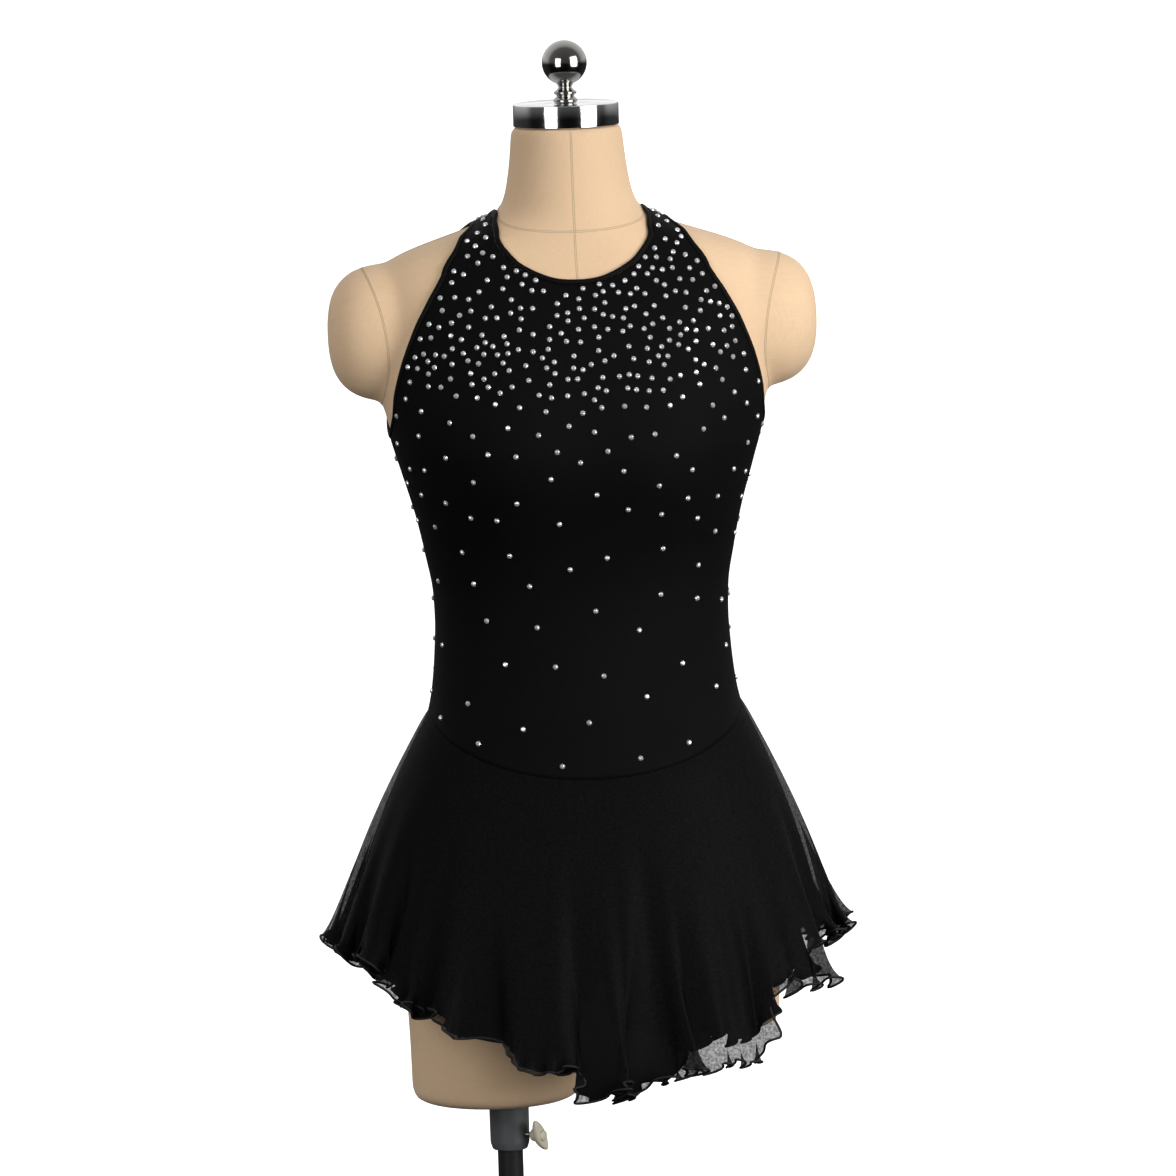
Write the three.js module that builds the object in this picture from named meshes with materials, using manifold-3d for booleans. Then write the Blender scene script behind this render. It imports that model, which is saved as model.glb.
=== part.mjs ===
// A sleeveless figure skating dress with a rhinestoned stretch bodice and a
// double chiffon skirt, worn by a limbless linen dress form on a pole stand.
// Millimetres, +Z up. The origin is on the pole's axis, at the floor; the
// dress faces -Y. The form's own axis stands beside the pole, at +X.
import * as THREE from 'three';
import { mergeVertices } from 'three/addons/utils/BufferGeometryUtils.js';
import Module from 'manifold-3d';

const wasm = await Module();
wasm.setup();

// ---------------------------------------------------------------- main sizes
const FORM_AXIS_X = 76.5; // form's axis, measured from the pole's
const SEAM_GAP = 0.3; // between neighbouring pieces
const EDGE_GAP = 0.5; // between a panel's curved edge and its binding
const CLOTH_GAP = 1; // cloth off the form
const KNIT = 1.2; // stretch knit wall
const CHIFFON = 1.3; // chiffon wall, measured level
const BINDING_WIDTH = 4.5;
const BINDING_WALL = 2;
const QUARTER = Math.PI / 2;
const SIDE_SEAM_ANGLE = 0.0026; // half of the slit at a side seam, radians

// The form's level sections: half width, depth in front of and behind its
// axis, and the power of the rounded section (2 is an ellipse).
const FORM_SECTIONS = [
  { z: 610, half: 30, front: 12, back: 20, power: 2 },
  { z: 612, half: 95, front: 48, back: 60, power: 2 },
  { z: 619, half: 135, front: 76, back: 92, power: 2 },
  { z: 633, half: 158, front: 96, back: 113, power: 2.1 },
  { z: 650, half: 165.5, front: 104, back: 121, power: 2.2 },
  { z: 690, half: 164, front: 107, back: 124, power: 2.2 },
  { z: 728, half: 155, front: 105, back: 116, power: 2.2 },
  { z: 760, half: 143, front: 101, back: 104, power: 2.1 },
  { z: 790, half: 132.5, front: 98, back: 93, power: 2.1 },
  { z: 811, half: 128.5, front: 95, back: 86, power: 2.1 },
  { z: 842, half: 125.5, front: 92, back: 79, power: 2.1 },
  { z: 866, half: 124.3, front: 91, back: 77, power: 2.1 },
  { z: 890, half: 125, front: 92, back: 77, power: 2.1 },
  { z: 926, half: 131, front: 97, back: 82, power: 2.1 },
  { z: 957, half: 137.5, front: 103, back: 88, power: 2.2 },
  { z: 999, half: 149.5, front: 112, back: 97, power: 2.2 },
  { z: 1023, half: 156.5, front: 114, back: 102, power: 2.25 },
  { z: 1060, half: 165, front: 112, back: 106, power: 2.25 },
  { z: 1090, half: 167, front: 105, back: 106, power: 2.25 },
  { z: 1120, half: 168.5, front: 95, back: 102, power: 2.2 },
  { z: 1145, half: 169.5, front: 83, back: 95, power: 2.2 },
  { z: 1160, half: 169, front: 75, back: 89, power: 2.1 },
  { z: 1171, half: 165, front: 69, back: 83, power: 2 },
  { z: 1179, half: 155, front: 65, back: 79, power: 2 },
  { z: 1187, half: 138, front: 62, back: 75, power: 2 },
  { z: 1197, half: 109, front: 60, back: 71, power: 2 },
  { z: 1204, half: 88, front: 59, back: 67, power: 2 },
  { z: 1211, half: 73, front: 57.5, back: 63, power: 2 },
  { z: 1218, half: 61, front: 56, back: 60, power: 2 },
  { z: 1233, half: 54.5, front: 54, back: 56, power: 2 },
  { z: 1262, half: 49.8, front: 51, back: 51, power: 2 },
  { z: 1289, half: 47.4, front: 50, back: 47, power: 2 },
];
const BUST = { apart: 70, z: 1014, rise: 18, spreadX: 48, spreadZ: 50 };

// ------------------------------------------------------------- shape helpers
/** A smooth curve through a table's column that never overshoots a row. */
function columnCurve(rows, key, column) {
  const at = rows.map((row) => row[key]);
  const values = rows.map((row) => row[column]);
  const slopes = at.slice(1).map((next, i) => (values[i + 1] - values[i]) / (next - at[i]));
  const tangents = values.map((_, i) => {
    if (i === 0) return slopes[0];
    if (i === values.length - 1) return slopes[i - 1];
    const [before, after] = [slopes[i - 1], slopes[i]];
    return before * after <= 0 ? 0 : (2 * before * after) / (before + after);
  });
  return (position) => {
    let i = at.findIndex((end) => end > position) - 1;
    if (i === -2) i = at.length - 2;
    i = Math.max(i, 0);
    const span = at[i + 1] - at[i];
    const t = THREE.MathUtils.clamp((position - at[i]) / span, 0, 1);
    const [t2, t3] = [t * t, t * t * t];
    return (
      values[i] * (2 * t3 - 3 * t2 + 1) +
      values[i + 1] * (3 * t2 - 2 * t3) +
      tangents[i] * span * (t3 - 2 * t2 + t) +
      tangents[i + 1] * span * (t3 - t2)
    );
  };
}

/** A closed mesh from its points and triangles. */
function meshGeometry(points, triangles) {
  const geometry = new THREE.BufferGeometry();
  const numbers = points.flatMap((point) => point.toArray());
  geometry.setAttribute('position', new THREE.Float32BufferAttribute(numbers, 3));
  geometry.setIndex(triangles.flat());
  return geometry;
}

/** Both triangles of a four-sided cell whose corners run anticlockwise. */
const cell = (a, b, c, d) => [[a, b, c], [a, c, d]];

/** A wall: place(node, side) gives each node's point on the inner side, 0, and
 * the outer side, 1; free edges of the sheet of triangles are closed across. */
function wall(nodes, triangles, place) {
  const count = nodes.length;
  const points = [...nodes.map((node) => place(node, 1)), ...nodes.map((node) => place(node, 0))];
  const directed = new Set(triangles.flatMap(([a, b, c]) => [`${a} ${b}`, `${b} ${c}`, `${c} ${a}`]));
  const faces = triangles.flatMap(([a, b, c]) => [[a, b, c], [c + count, b + count, a + count]]);
  for (const [a, b, c] of triangles) {
    for (const [from, to] of [[a, b], [b, c], [c, a]]) {
      if (directed.has(`${to} ${from}`)) continue;
      faces.push(...cell(to, from, from + count, to + count));
    }
  }
  return meshGeometry(points, faces);
}

/** A solid lofted through rings with the same number of points, its two ends
 * closed by fans. Each ring runs anticlockwise as seen from the last ring. */
function loft(rings) {
  const columns = rings[0].length;
  const points = rings.flat();
  const faces = [];
  for (let r = 0; r + 1 < rings.length; r += 1) {
    for (let c = 0; c < columns; c += 1) {
      const [here, next] = [r * columns + c, r * columns + ((c + 1) % columns)];
      faces.push(...cell(here, next, next + columns, here + columns));
    }
  }
  for (const [ring, turn] of [[0, -1], [rings.length - 1, 1]]) {
    const middle = points.length;
    const centre = rings[ring].reduce((sum, p) => sum.add(p), new THREE.Vector3());
    points.push(centre.divideScalar(columns));
    for (let c = 0; c < columns; c += 1) {
      const [a, b] = [ring * columns + c, ring * columns + ((c + 1) % columns)];
      faces.push(turn > 0 ? [a, b, middle] : [b, a, middle]);
    }
  }
  return meshGeometry(points, faces);
}

function toSolid(geometry) {
  const plain = geometry.clone();
  plain.deleteAttribute('normal');
  plain.deleteAttribute('uv');
  const merged = mergeVertices(plain, 1e-4);
  return new wasm.Manifold(new wasm.Mesh({
    numProp: 3,
    vertProperties: new Float32Array(merged.attributes.position.array),
    triVerts: new Uint32Array(merged.index.array),
  }));
}

function fromSolid(solid) {
  const { vertProperties, triVerts } = solid.getMesh();
  const geometry = new THREE.BufferGeometry();
  geometry.setAttribute('position', new THREE.BufferAttribute(vertProperties, 3));
  geometry.setIndex(new THREE.BufferAttribute(triVerts, 1));
  return geometry;
}

/** A lathe around Z from [radius, height] pairs, outwards-facing. */
function turned(profile, segments) {
  const outline = profile.map(([radius, height]) => new THREE.Vector2(radius, height));
  return mergeVertices(new THREE.LatheGeometry(outline, segments).rotateX(QUARTER), 1e-4);
}

// ------------------------------------------------------- the form's surface
const formHalf = columnCurve(FORM_SECTIONS, 'z', 'half');
const formFront = columnCurve(FORM_SECTIONS, 'z', 'front');
const formBack = columnCurve(FORM_SECTIONS, 'z', 'back');
const formPower = columnCurve(FORM_SECTIONS, 'z', 'power');

/** The form's point at an angle round it (0 is the centre front, a quarter
 * turn its +X side) and a height: a rounded section with two soft rises. */
function formPoint(angle, z) {
  const [across, along] = [Math.sin(angle), Math.cos(angle)];
  const power = formPower(z);
  const reach = (Math.abs(across) ** power + Math.abs(along) ** power) ** (-1 / power);
  const x = formHalf(z) * across * reach;
  const depth = along > 0 ? formFront(z) : formBack(z);
  let y = -depth * along * reach;
  if (along > 0) {
    for (const side of [-1, 1]) {
      const [u, v] = [(x - side * BUST.apart) / BUST.spreadX, (z - BUST.z) / BUST.spreadZ];
      y -= BUST.rise * Math.exp(-(u * u + v * v) / 2) * along ** 0.5;
    }
  }
  return new THREE.Vector3(x, y, z);
}

/** Unit tangents round and up the form at a node, with its outward normal. */
function formFrame({ angle, z }) {
  const [turn, lift] = [1e-3, 0.05];
  const round = formPoint(angle + turn, z).sub(formPoint(angle - turn, z)).divideScalar(2 * turn);
  const up = formPoint(angle, z + lift).sub(formPoint(angle, z - lift)).divideScalar(2 * lift);
  return { round, up, normal: round.clone().cross(up).normalize() };
}

const offForm = (node, distance) =>
  formPoint(node.angle, node.z).addScaledVector(formFrame(node).normal, distance);

/** The node reached by moving along the form's surface. */
function slide(node, direction, distance) {
  const { round, up } = formFrame(node);
  const [rr, ru, uu] = [round.dot(round), round.dot(up), up.dot(up)];
  const [dr, du] = [direction.dot(round) * distance, direction.dot(up) * distance];
  const area = rr * uu - ru * ru;
  return { angle: node.angle + (dr * uu - du * ru) / area, z: node.z + (du * rr - dr * ru) / area };
}

/** The angle round the form of a point at x on its front or back. */
function angleAt(x, z) {
  const power = formPower(z);
  const across = Math.min(x / formHalf(z), 1);
  return Math.atan2(across, (1 - across ** power) ** (1 / power));
}

/** The height where the shoulder's ridge stands x from the form's axis. */
function ridgeHeight(x) {
  let [low, high] = [1172, 1233];
  for (let step = 0; step < 40; step += 1) {
    const middle = (low + high) / 2;
    if (formHalf(middle) > x) low = middle;
    else high = middle;
  }
  return (low + high) / 2;
}

// ------------------------------------------------------------- cut of the dress
// Finished edges, as distances from the centre line and heights.
const NECK_RIDGE_X = 61;
const ARM_RIDGE_X = 84;
const ARMHOLE_BOTTOM_Z = 1031;
const FRONT_NECK = [
  { x: 0, z: 1163 }, { x: 20, z: 1165 }, { x: 43, z: 1175 },
  { x: 57, z: 1188 }, { x: 63, z: 1201 }, { x: 63.5, z: 1210 },
];
const BACK_NECK = [
  { x: 0, z: 1088 }, { x: 22, z: 1091 }, { x: 41, z: 1103 }, { x: 51.5, z: 1123 },
  { x: 56.5, z: 1146 }, { x: 59, z: 1163 }, { x: 60.3, z: 1173 }, { x: 61.3, z: 1181 },
  { x: 62.2, z: 1189 }, { x: 63, z: 1197 }, { x: 63, z: 1205 },
];
const ARMHOLE = [
  { x: 157.5, z: 1048 }, { x: 155.5, z: 1070 }, { x: 149.5, z: 1095 }, { x: 139, z: 1124 },
  { x: 125.5, z: 1150 }, { x: 114.5, z: 1168 }, { x: 104.5, z: 1185 }, { x: 95, z: 1198 },
];
const BACK_ARMHOLE = [
  { x: 157.5, z: 1048 }, { x: 155, z: 1070 }, { x: 148, z: 1095 }, { x: 136, z: 1124 },
  { x: 122, z: 1150 }, { x: 111, z: 1168 }, { x: 100, z: 1184 }, { x: 90, z: 1198 },
];
const WAIST_SIDE_Z = 789;
const WAIST_FRONT_DROP = 51;
const WAIST_BACK_DROP = 30;

/** The dropped waist seam's height round the form. */
function waistHeight(angle) {
  const along = Math.cos(angle);
  const drop = along > 0 ? WAIST_FRONT_DROP : WAIST_BACK_DROP;
  return WAIST_SIDE_Z - drop * Math.abs(along) ** 1.5;
}

/** Nodes along a smooth curve through a table's points, which leaves its two
 * ends level round the form. */
function traced(points, pieces) {
  const round = 120; // the form's mean radius turns angles into lengths
  const [first, second] = points;
  const [beforeLast, last] = points.slice(-2);
  const ghosts = [
    { angle: 2 * first.angle - second.angle, z: second.z },
    ...points,
    { angle: 2 * last.angle - beforeLast.angle, z: beforeLast.z },
  ];
  const path = new THREE.CatmullRomCurve3(
    ghosts.map(({ angle, z }) => new THREE.Vector3(angle * round, z, 0)), false, 'centripetal');
  path.arcLengthDivisions = 800;
  const spans = ghosts.length - 1;
  const [from, to] = [1, spans - 1].map((i) => lengthShare(path, i / spans));
  return Array.from({ length: pieces + 1 }, (_, i) => {
    const p = path.getPointAt(from + ((to - from) * i) / pieces);
    return { angle: p.x / round, z: p.y };
  });
}

/** The share of a path's length that lies before its parameter t. */
function lengthShare(path, t) {
  const lengths = path.getLengths();
  return lengths[Math.round(t * (lengths.length - 1))] / lengths.at(-1);
}

/** A cut of the form's front, taken to its back. */
const toBack = (nodes) => nodes.map(({ angle, z }) => ({ angle: Math.PI - angle, z }));

/** A table's edge as nodes on the form. */
const fromTable = (rows) => rows.map(({ x, z }) => ({ angle: angleAt(x, z), z }));
const NECK_STEPS = 10;
const ARM_STEPS = 15;
const ARM_STEPS_BELOW_NECK = 5;
const neckRidge = { angle: QUARTER, z: ridgeHeight(NECK_RIDGE_X) };
const armRidge = { angle: QUARTER, z: ridgeHeight(ARM_RIDGE_X) };
const armBottom = { angle: QUARTER, z: ARMHOLE_BOTTOM_Z };

/** A closed loop of nodes moved along the form's surface, to its own left as
 * seen from outside for a positive distance. */
function inset(loop, distance) {
  return loop.map((node, i) => {
    const [before, after] = [loop.at(i - 1), loop[(i + 1) % loop.length]];
    const along = formPoint(after.angle, after.z).sub(formPoint(before.angle, before.z)).normalize();
    return slide(node, formFrame(node).normal.cross(along).normalize(), distance);
  });
}

/** Quarter cuts joined to a loop: front from its middle to the ridge, back to
 * its middle, then the other half mirrored. */
function neckLoop() {
  const front = traced([...fromTable(FRONT_NECK), neckRidge], NECK_STEPS);
  const back = toBack(traced([...fromTable(BACK_NECK), neckRidge], NECK_STEPS)).reverse();
  const half = [...front, ...back.slice(1)];
  const other = half.slice(1, -1).reverse().map(({ angle, z }) => ({ angle: 2 * Math.PI - angle, z }));
  return [...half, ...other];
}

function armLoop() {
  const edge = (table) => traced([armBottom, ...fromTable(table), armRidge], ARM_STEPS);
  return [...edge(ARMHOLE), ...toBack(edge(BACK_ARMHOLE)).reverse().slice(1, -1)];
}

const neckFinished = neckLoop();
const armFinished = armLoop();
const neckSeam = inset(neckFinished, -BINDING_WIDTH - EDGE_GAP);
const armSeam = inset(armFinished, BINDING_WIDTH + EDGE_GAP);

// ---------------------------------------------------------------- the bodice
const BODICE_ROWS = [0, 0.1, 0.2, 0.3, 0.4, 0.5, 0.6, 0.69, 0.77, 0.85, 0.93];

/** A front or back of the bodice: rows of nodes run from its centre line or
 * neckline out to its side seam or armhole, and mirror to its other half. */
function bodicePanel(neck, arm) {
  const columns = FORM_COLUMNS / 4;
  const seam = QUARTER - SIDE_SEAM_ANGLE;
  const kept = (node) => ({ angle: Math.min(node.angle, seam), z: node.z });
  const waistIn = waistHeight(neck.back ? Math.PI : 0) + SEAM_GAP / 2;
  const waistOut = WAIST_SIDE_Z + SEAM_GAP / 2;
  const middleTop = THREE.MathUtils.lerp(waistIn, neck.nodes[0].z, neck.share);
  const rows = BODICE_ROWS.map((share) => ({
    inner: { angle: 0, z: THREE.MathUtils.lerp(waistIn, middleTop, share) },
    outer: { angle: seam, z: THREE.MathUtils.lerp(waistOut, arm[0].z, share) },
  }));
  arm.forEach((node, i) => {
    const below = i - ARM_STEPS_BELOW_NECK;
    const share = i / ARM_STEPS_BELOW_NECK;
    const inner = below > 0
      ? kept(neck.nodes[below])
      : { angle: 0, z: THREE.MathUtils.lerp(middleTop, neck.nodes[0].z, share) };
    rows.push({ inner, outer: kept(node) });
  });

  const nodes = [];
  const triangles = [];
  const centre = neck.back ? Math.PI : 0;
  const grid = rows.map(({ inner, outer }, r) => [1, -1].map((side) => {
    const line = [];
    for (let c = 0; c <= columns; c += 1) {
      const onCentre = c === 0 && inner.angle === 0 && side < 0;
      if (onCentre) {
        line.push(nodes.length - columns - 1);
        continue;
      }
      const share = c / columns;
      const angle = THREE.MathUtils.lerp(inner.angle, outer.angle, share);
      let z = THREE.MathUtils.lerp(inner.z, outer.z, share);
      if (r < BODICE_ROWS.length) {
        const lift = BODICE_ROWS[r];
        z = THREE.MathUtils.lerp(waistHeight(centre + angle) + SEAM_GAP / 2,
          THREE.MathUtils.lerp(middleTop, arm[0].z, share), lift);
      }
      line.push(nodes.length);
      nodes.push({ angle: centre + side * angle, z });
    }
    return line;
  }));
  for (let r = 0; r + 1 < rows.length; r += 1) {
    for (let c = 0; c < columns; c += 1) {
      const [[low, lowLeft], [high, highLeft]] = [grid[r], grid[r + 1]];
      triangles.push(...cell(low[c], low[c + 1], high[c + 1], high[c]));
      triangles.push(...cell(lowLeft[c], highLeft[c], highLeft[c + 1], lowLeft[c + 1]));
    }
  }
  return wall(nodes, triangles, (node, side) => offForm(node, CLOTH_GAP + side * KNIT));
}

/** The half of an armhole or neckline on the form's front or back, as the
 * panel's own angles from its centre line. */
function quarterOf(loop, from, steps, back) {
  const nodes = Array.from({ length: steps + 1 }, (_, i) => loop.at((from + i) % loop.length));
  return back
    ? nodes.map(({ angle, z }) => ({ angle: Math.PI - angle, z })).reverse()
    : nodes;
}

/** A binding: a flat elastic round an opening, between the seam and the
 * finished edge. */
function binding(finished, isNeck, mirror = 1) {
  const inner = inset(finished, isNeck ? -BINDING_WIDTH : BINDING_WIDTH);
  const nodes = [...inner, ...finished].map(({ angle, z }) => ({ angle: mirror * angle, z }));
  const count = finished.length;
  const triangles = [];
  for (let i = 0; i < count; i += 1) {
    const j = (i + 1) % count;
    const corners = [i, j, j + count, i + count];
    triangles.push(...cell(...(isNeck === mirror > 0 ? corners : corners.reverse())));
  }
  return wall(nodes, triangles, (node, side) => offForm(node, CLOTH_GAP + side * BINDING_WALL));
}

// ----------------------------------------------------------------- the skirt
// Round the form, in degrees from the centre front towards +X: how far a layer
// stands out for each millimetre that it falls, and both layers' hem heights.
const FLARE = [
  [-180, 0.54], [-150, 0.57], [-120, 0.53], [-90, 0.445], [-60, 0.42], [-30, 0.38], [0, 0.36],
  [30, 0.38], [60, 0.405], [90, 0.4], [120, 0.51], [150, 0.57], [180, 0.54],
].map(([angle, out]) => ({ angle, out }));
const HEM = [
  [-180, 498, 494], [-150, 520, 520], [-120, 572, 566], [-90, 590, 579], [-76, 588, 577],
  [-66, 586, 574], [-60, 581, 566], [-56, 569, 556], [-50, 558, 549], [-46, 553, 546],
  [-41, 550, 543], [-38, 540, 534], [-34, 532, 527], [-27, 527, 522], [-24, 518, 514],
  [-21, 508, 505], [-16, 503, 501], [-9.5, 502, 500], [-7.5, 483, 482], [-2, 480, 477],
  [4, 484, 481], [10, 486, 482], [16, 492, 487], [19, 499, 515], [30, 500, 518], [39, 514, 518],
  [42, 552, 532], [44.5, 560, 560], [49, 557, 564], [56, 553, 562], [61, 558, 567], [65, 580, 588],
  [76, 586, 590], [90, 587, 591], [120, 572, 575], [150, 520, 516], [180, 498, 494],
].map(([angle, outer, inner]) => ({ angle, outer, inner }));
// Deep folds: where they stand, how far they draw in, half their spread in
// degrees, and the share of the skirt's fall at which they begin.
const FOLDS = [
  [-8.5, 15, 3.4, 0.15], [3.5, 14, 3.2, 0.2], [11, 24, 3.6, 0.12], [18, 12, 2.6, 0.3],
  [28, 11, 3.4, 0.3], [-31, 12, 4.5, 0.3], [-58, 13, 5, 0.2], [35.5, 12, 3, 0.25],
  [66, 15, 4.5, 0.2], [-84, 10, 4, 0.35], [96, 13, 4.5, 0.25], [118, 17, 5, 0.2],
  [139, 12, 4, 0.3], [160, 20, 4.6, 0.14], [183, 14, 4, 0.22], [204, 23, 4.8, 0.13],
  [228, 12, 4.2, 0.3], [250, 16, 4.8, 0.2],
].map(([angle, depth, spread, start]) => ({ angle, depth, spread, start }));
const LAYERS = {
  outer: {
    hem: columnCurve(HEM, 'angle', 'outer'),
    standOff: CLOTH_GAP + KNIT + 0.8, drawIn: 0, waves: 27, phase: 0.4, height: 5.5,
  },
  inner: {
    hem: columnCurve(HEM, 'angle', 'inner'),
    standOff: CLOTH_GAP + 0.2, drawIn: 13, waves: 25, phase: 2.1, height: 4.5,
  },
};
const BULGE = 7; // how far a layer's middle stands out of its flared line
const CALM_AT = -27; // degrees: where the hems hang without waves
const CALM_SPREAD = 12;
const HEM_LIFT = 4; // the hem's own rise and fall over each ruffle wave
const DEGREE = Math.PI / 180;
const flareOut = columnCurve(FLARE, 'angle', 'out');

/** The turn between two directions in degrees, from -180 to 180. */
const turnBetween = (a, b) => THREE.MathUtils.euclideanModulo(a - b + 180, 360) - 180;

/** A skirt layer's point: down a flared and slightly bulging line from the
 * waist seam, drawn in at the folds and pushed out and in by ruffle waves. */
function skirtPoint(layer, angle, fall, standOff) {
  const degrees = angle / DEGREE;
  const fromFront = turnBetween(degrees, 0);
  const start = { angle, z: waistHeight(angle) - SEAM_GAP / 2 };
  const drop = fall * (start.z - layer.hem(fromFront));
  const calm = 1 - 0.8 * Math.exp(-(((fromFront - CALM_AT) / CALM_SPREAD) ** 2));
  const ruffle = calm * Math.sin(layer.waves * angle + layer.phase) * fall ** 3;
  let out = flareOut(fromFront) * drop + BULGE * Math.sin(Math.PI * fall);
  out += layer.height * ruffle - layer.drawIn * fall ** 1.5;
  for (const fold of FOLDS) {
    const share = THREE.MathUtils.smoothstep(fall, fold.start, 1.15);
    out -= fold.depth * share * Math.exp(-((turnBetween(degrees, fold.angle) / fold.spread) ** 2));
  }
  const outward = new THREE.Vector3(Math.sin(angle), -Math.cos(angle), 0);
  const { round } = formFrame(start);
  const level = new THREE.Vector3(round.y, -round.x, 0).normalize();
  const hem = HEM_LIFT * Math.cos(layer.waves * angle + layer.phase) * fall ** 6;
  return formPoint(angle, start.z)
    .addScaledVector(level, standOff)
    .addScaledVector(outward.lerp(level, 0.5).normalize(), out)
    .add(new THREE.Vector3(0, 0, start.z - formPoint(angle, start.z).z - drop + hem));
}

const COARSE_FALLS = [0, 0.18, 0.44];
const FINE_FALLS = [0.68, 0.86, 1];
const COARSE_COLUMNS = 27;

/** Half of a skirt layer: coarse columns at the hips, twice as many below. */
function skirtHalf(layer, centre) {
  const [from, to] = [centre - QUARTER + SIDE_SEAM_ANGLE / 2, centre + QUARTER - SIDE_SEAM_ANGLE / 2];
  const nodes = [];
  const rowOf = (fall, columns) => Array.from({ length: columns + 1 }, (_, c) => {
    nodes.push({ angle: THREE.MathUtils.lerp(from, to, c / columns), fall });
    return nodes.length - 1;
  });
  const coarse = COARSE_FALLS.map((fall) => rowOf(fall, COARSE_COLUMNS));
  const fine = FINE_FALLS.map((fall) => rowOf(fall, 2 * COARSE_COLUMNS));
  const triangles = [];
  for (const rows of [coarse, fine]) {
    for (let r = 0; r + 1 < rows.length; r += 1) {
      for (let c = 0; c + 1 < rows[r].length; c += 1) {
        triangles.push(...cell(rows[r + 1][c], rows[r + 1][c + 1], rows[r][c + 1], rows[r][c]));
      }
    }
  }
  const [above, below] = [coarse.at(-1), fine[0]];
  for (let c = 0; c < COARSE_COLUMNS; c += 1) {
    triangles.push([below[2 * c], below[2 * c + 1], above[c]]);
    triangles.push([below[2 * c + 1], above[c + 1], above[c]]);
    triangles.push([below[2 * c + 1], below[2 * c + 2], above[c + 1]]);
  }
  return wall(nodes, triangles, (node, side) =>
    skirtPoint(layer, node.angle, node.fall, layer.standOff + side * CHIFFON));
}

// ------------------------------------------------------- the dress form's body
const FORM_COLUMNS = 36; // as many as the bodice's two panels have
const THIGH_COLUMNS = 20;
// The two thighs' level sections, from the form's axis.
const THIGH_SECTIONS = [
  { z: 440, middle: 86.5, half: 72.5, front: 74, back: 82 },
  { z: 500, middle: 86.5, half: 73.5, front: 77, back: 86 },
  { z: 560, middle: 85.5, half: 77, front: 83, back: 94 },
  { z: 605, middle: 85, half: 79, front: 89, back: 101 },
  { z: 650, middle: 86, half: 76, front: 93, back: 106 },
  { z: 690, middle: 86, half: 60, front: 80, back: 90 },
];
const THIGH_HEIGHTS = [470, 500, 530, 560, 585, 605, 628, 650, 672, 690];
const LONG_THIGH_Z = 450;
const SHORT_THIGH_Z = 507;
const THIGH_EDGE = 9; // rounding of each thigh's lower edge
const ARM_PLATE = { x: 150, y: 2, z: 1117.5, reachX: 60, reachY: 50, reachZ: 59.5, powerX: 2.8 };
const thighMiddle = columnCurve(THIGH_SECTIONS, 'z', 'middle');
const thighHalf = columnCurve(THIGH_SECTIONS, 'z', 'half');
const thighFront = columnCurve(THIGH_SECTIONS, 'z', 'front');
const thighBack = columnCurve(THIGH_SECTIONS, 'z', 'back');

/** A ring round Z from its four reaches, anticlockwise from above. */
function levelRing(middleX, half, front, back, z, columns) {
  return Array.from({ length: columns }, (_, c) => {
    const angle = (2 * Math.PI * c) / columns;
    const depth = Math.cos(angle) > 0 ? front : back;
    return new THREE.Vector3(middleX + half * Math.sin(angle), -depth * Math.cos(angle), z);
  });
}

/** One thigh, grown by a distance all round, from its rounded or grown lower
 * end up into the hips. */
function thigh(side, bottom, growth) {
  const edge = growth > 0 ? 0 : THIGH_EDGE;
  const rounding = edge > 0 ? [0, 0.35, 0.7, 1] : [1];
  const rings = [
    ...rounding.map((share) => ({
      z: bottom + edge * share,
      shrink: edge * (1 - Math.sqrt(1 - (1 - share) ** 2)),
    })),
    ...THIGH_HEIGHTS.filter((z) => z > bottom + edge).map((z) => ({ z, shrink: 0 })),
  ];
  return loft(rings.map(({ z, shrink }) => levelRing(
    side * thighMiddle(z), thighHalf(z) - shrink + growth, thighFront(z) - shrink + growth,
    thighBack(z) - shrink + growth, z, THIGH_COLUMNS)));
}

/** The trunk from its closed lower end up to the flat top of the neck. */
function trunk(growth, heights) {
  return loft(heights.map((z) => Array.from({ length: FORM_COLUMNS }, (_, c) => {
    const angle = (2 * Math.PI * c) / FORM_COLUMNS;
    return growth ? offForm({ angle, z }, growth) : formPoint(angle, z);
  })));
}

/** The rounded plate that closes an armhole of the form. */
function armPlate(side) {
  const { x, y, z, reachX, reachY, reachZ, powerX } = ARM_PLATE;
  const columns = 16;
  const flatEnd = 0.004; // keeps the last ring open for its fan
  const stations = [-0.2, 0.25, 0.5, 0.7, 0.85, 0.95, 1];
  const rings = stations.map((share) => {
    const size = Math.max(1 - Math.max(share, 0) ** powerX, flatEnd) ** (1 / powerX);
    return Array.from({ length: columns }, (_, c) => {
      const angle = (2 * Math.PI * c) / columns;
      return new THREE.Vector3(
        side * (x + share * reachX), y + reachY * size * Math.cos(angle) * side,
        z + reachZ * size * Math.sin(angle));
    });
  });
  return loft(rings);
}

const TRUNK_HEIGHTS = [
  610, 612, 619, 633, 650, 674, 700, 728, 752, 776, 800, 830, 866, 900, 930, 957, 980, 1001, 1021, 1042,
  1065, 1090, 1115, 1137, 1155, 1167, 1179, 1188, 1197, 1204, 1211, 1218, 1233, 1262, 1289,
];
const BORE_RADIUS = 11.8;
const BORE_TOP_Z = 822;
const ROUND_SEGMENTS = 24;

/** A straight round bar standing on Z, for the pole and for bores. */
function bar(radius, bottom, top, segments = ROUND_SEGMENTS) {
  return turned([[0, bottom], [radius, bottom], [radius, top], [0, top]], segments);
}

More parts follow.
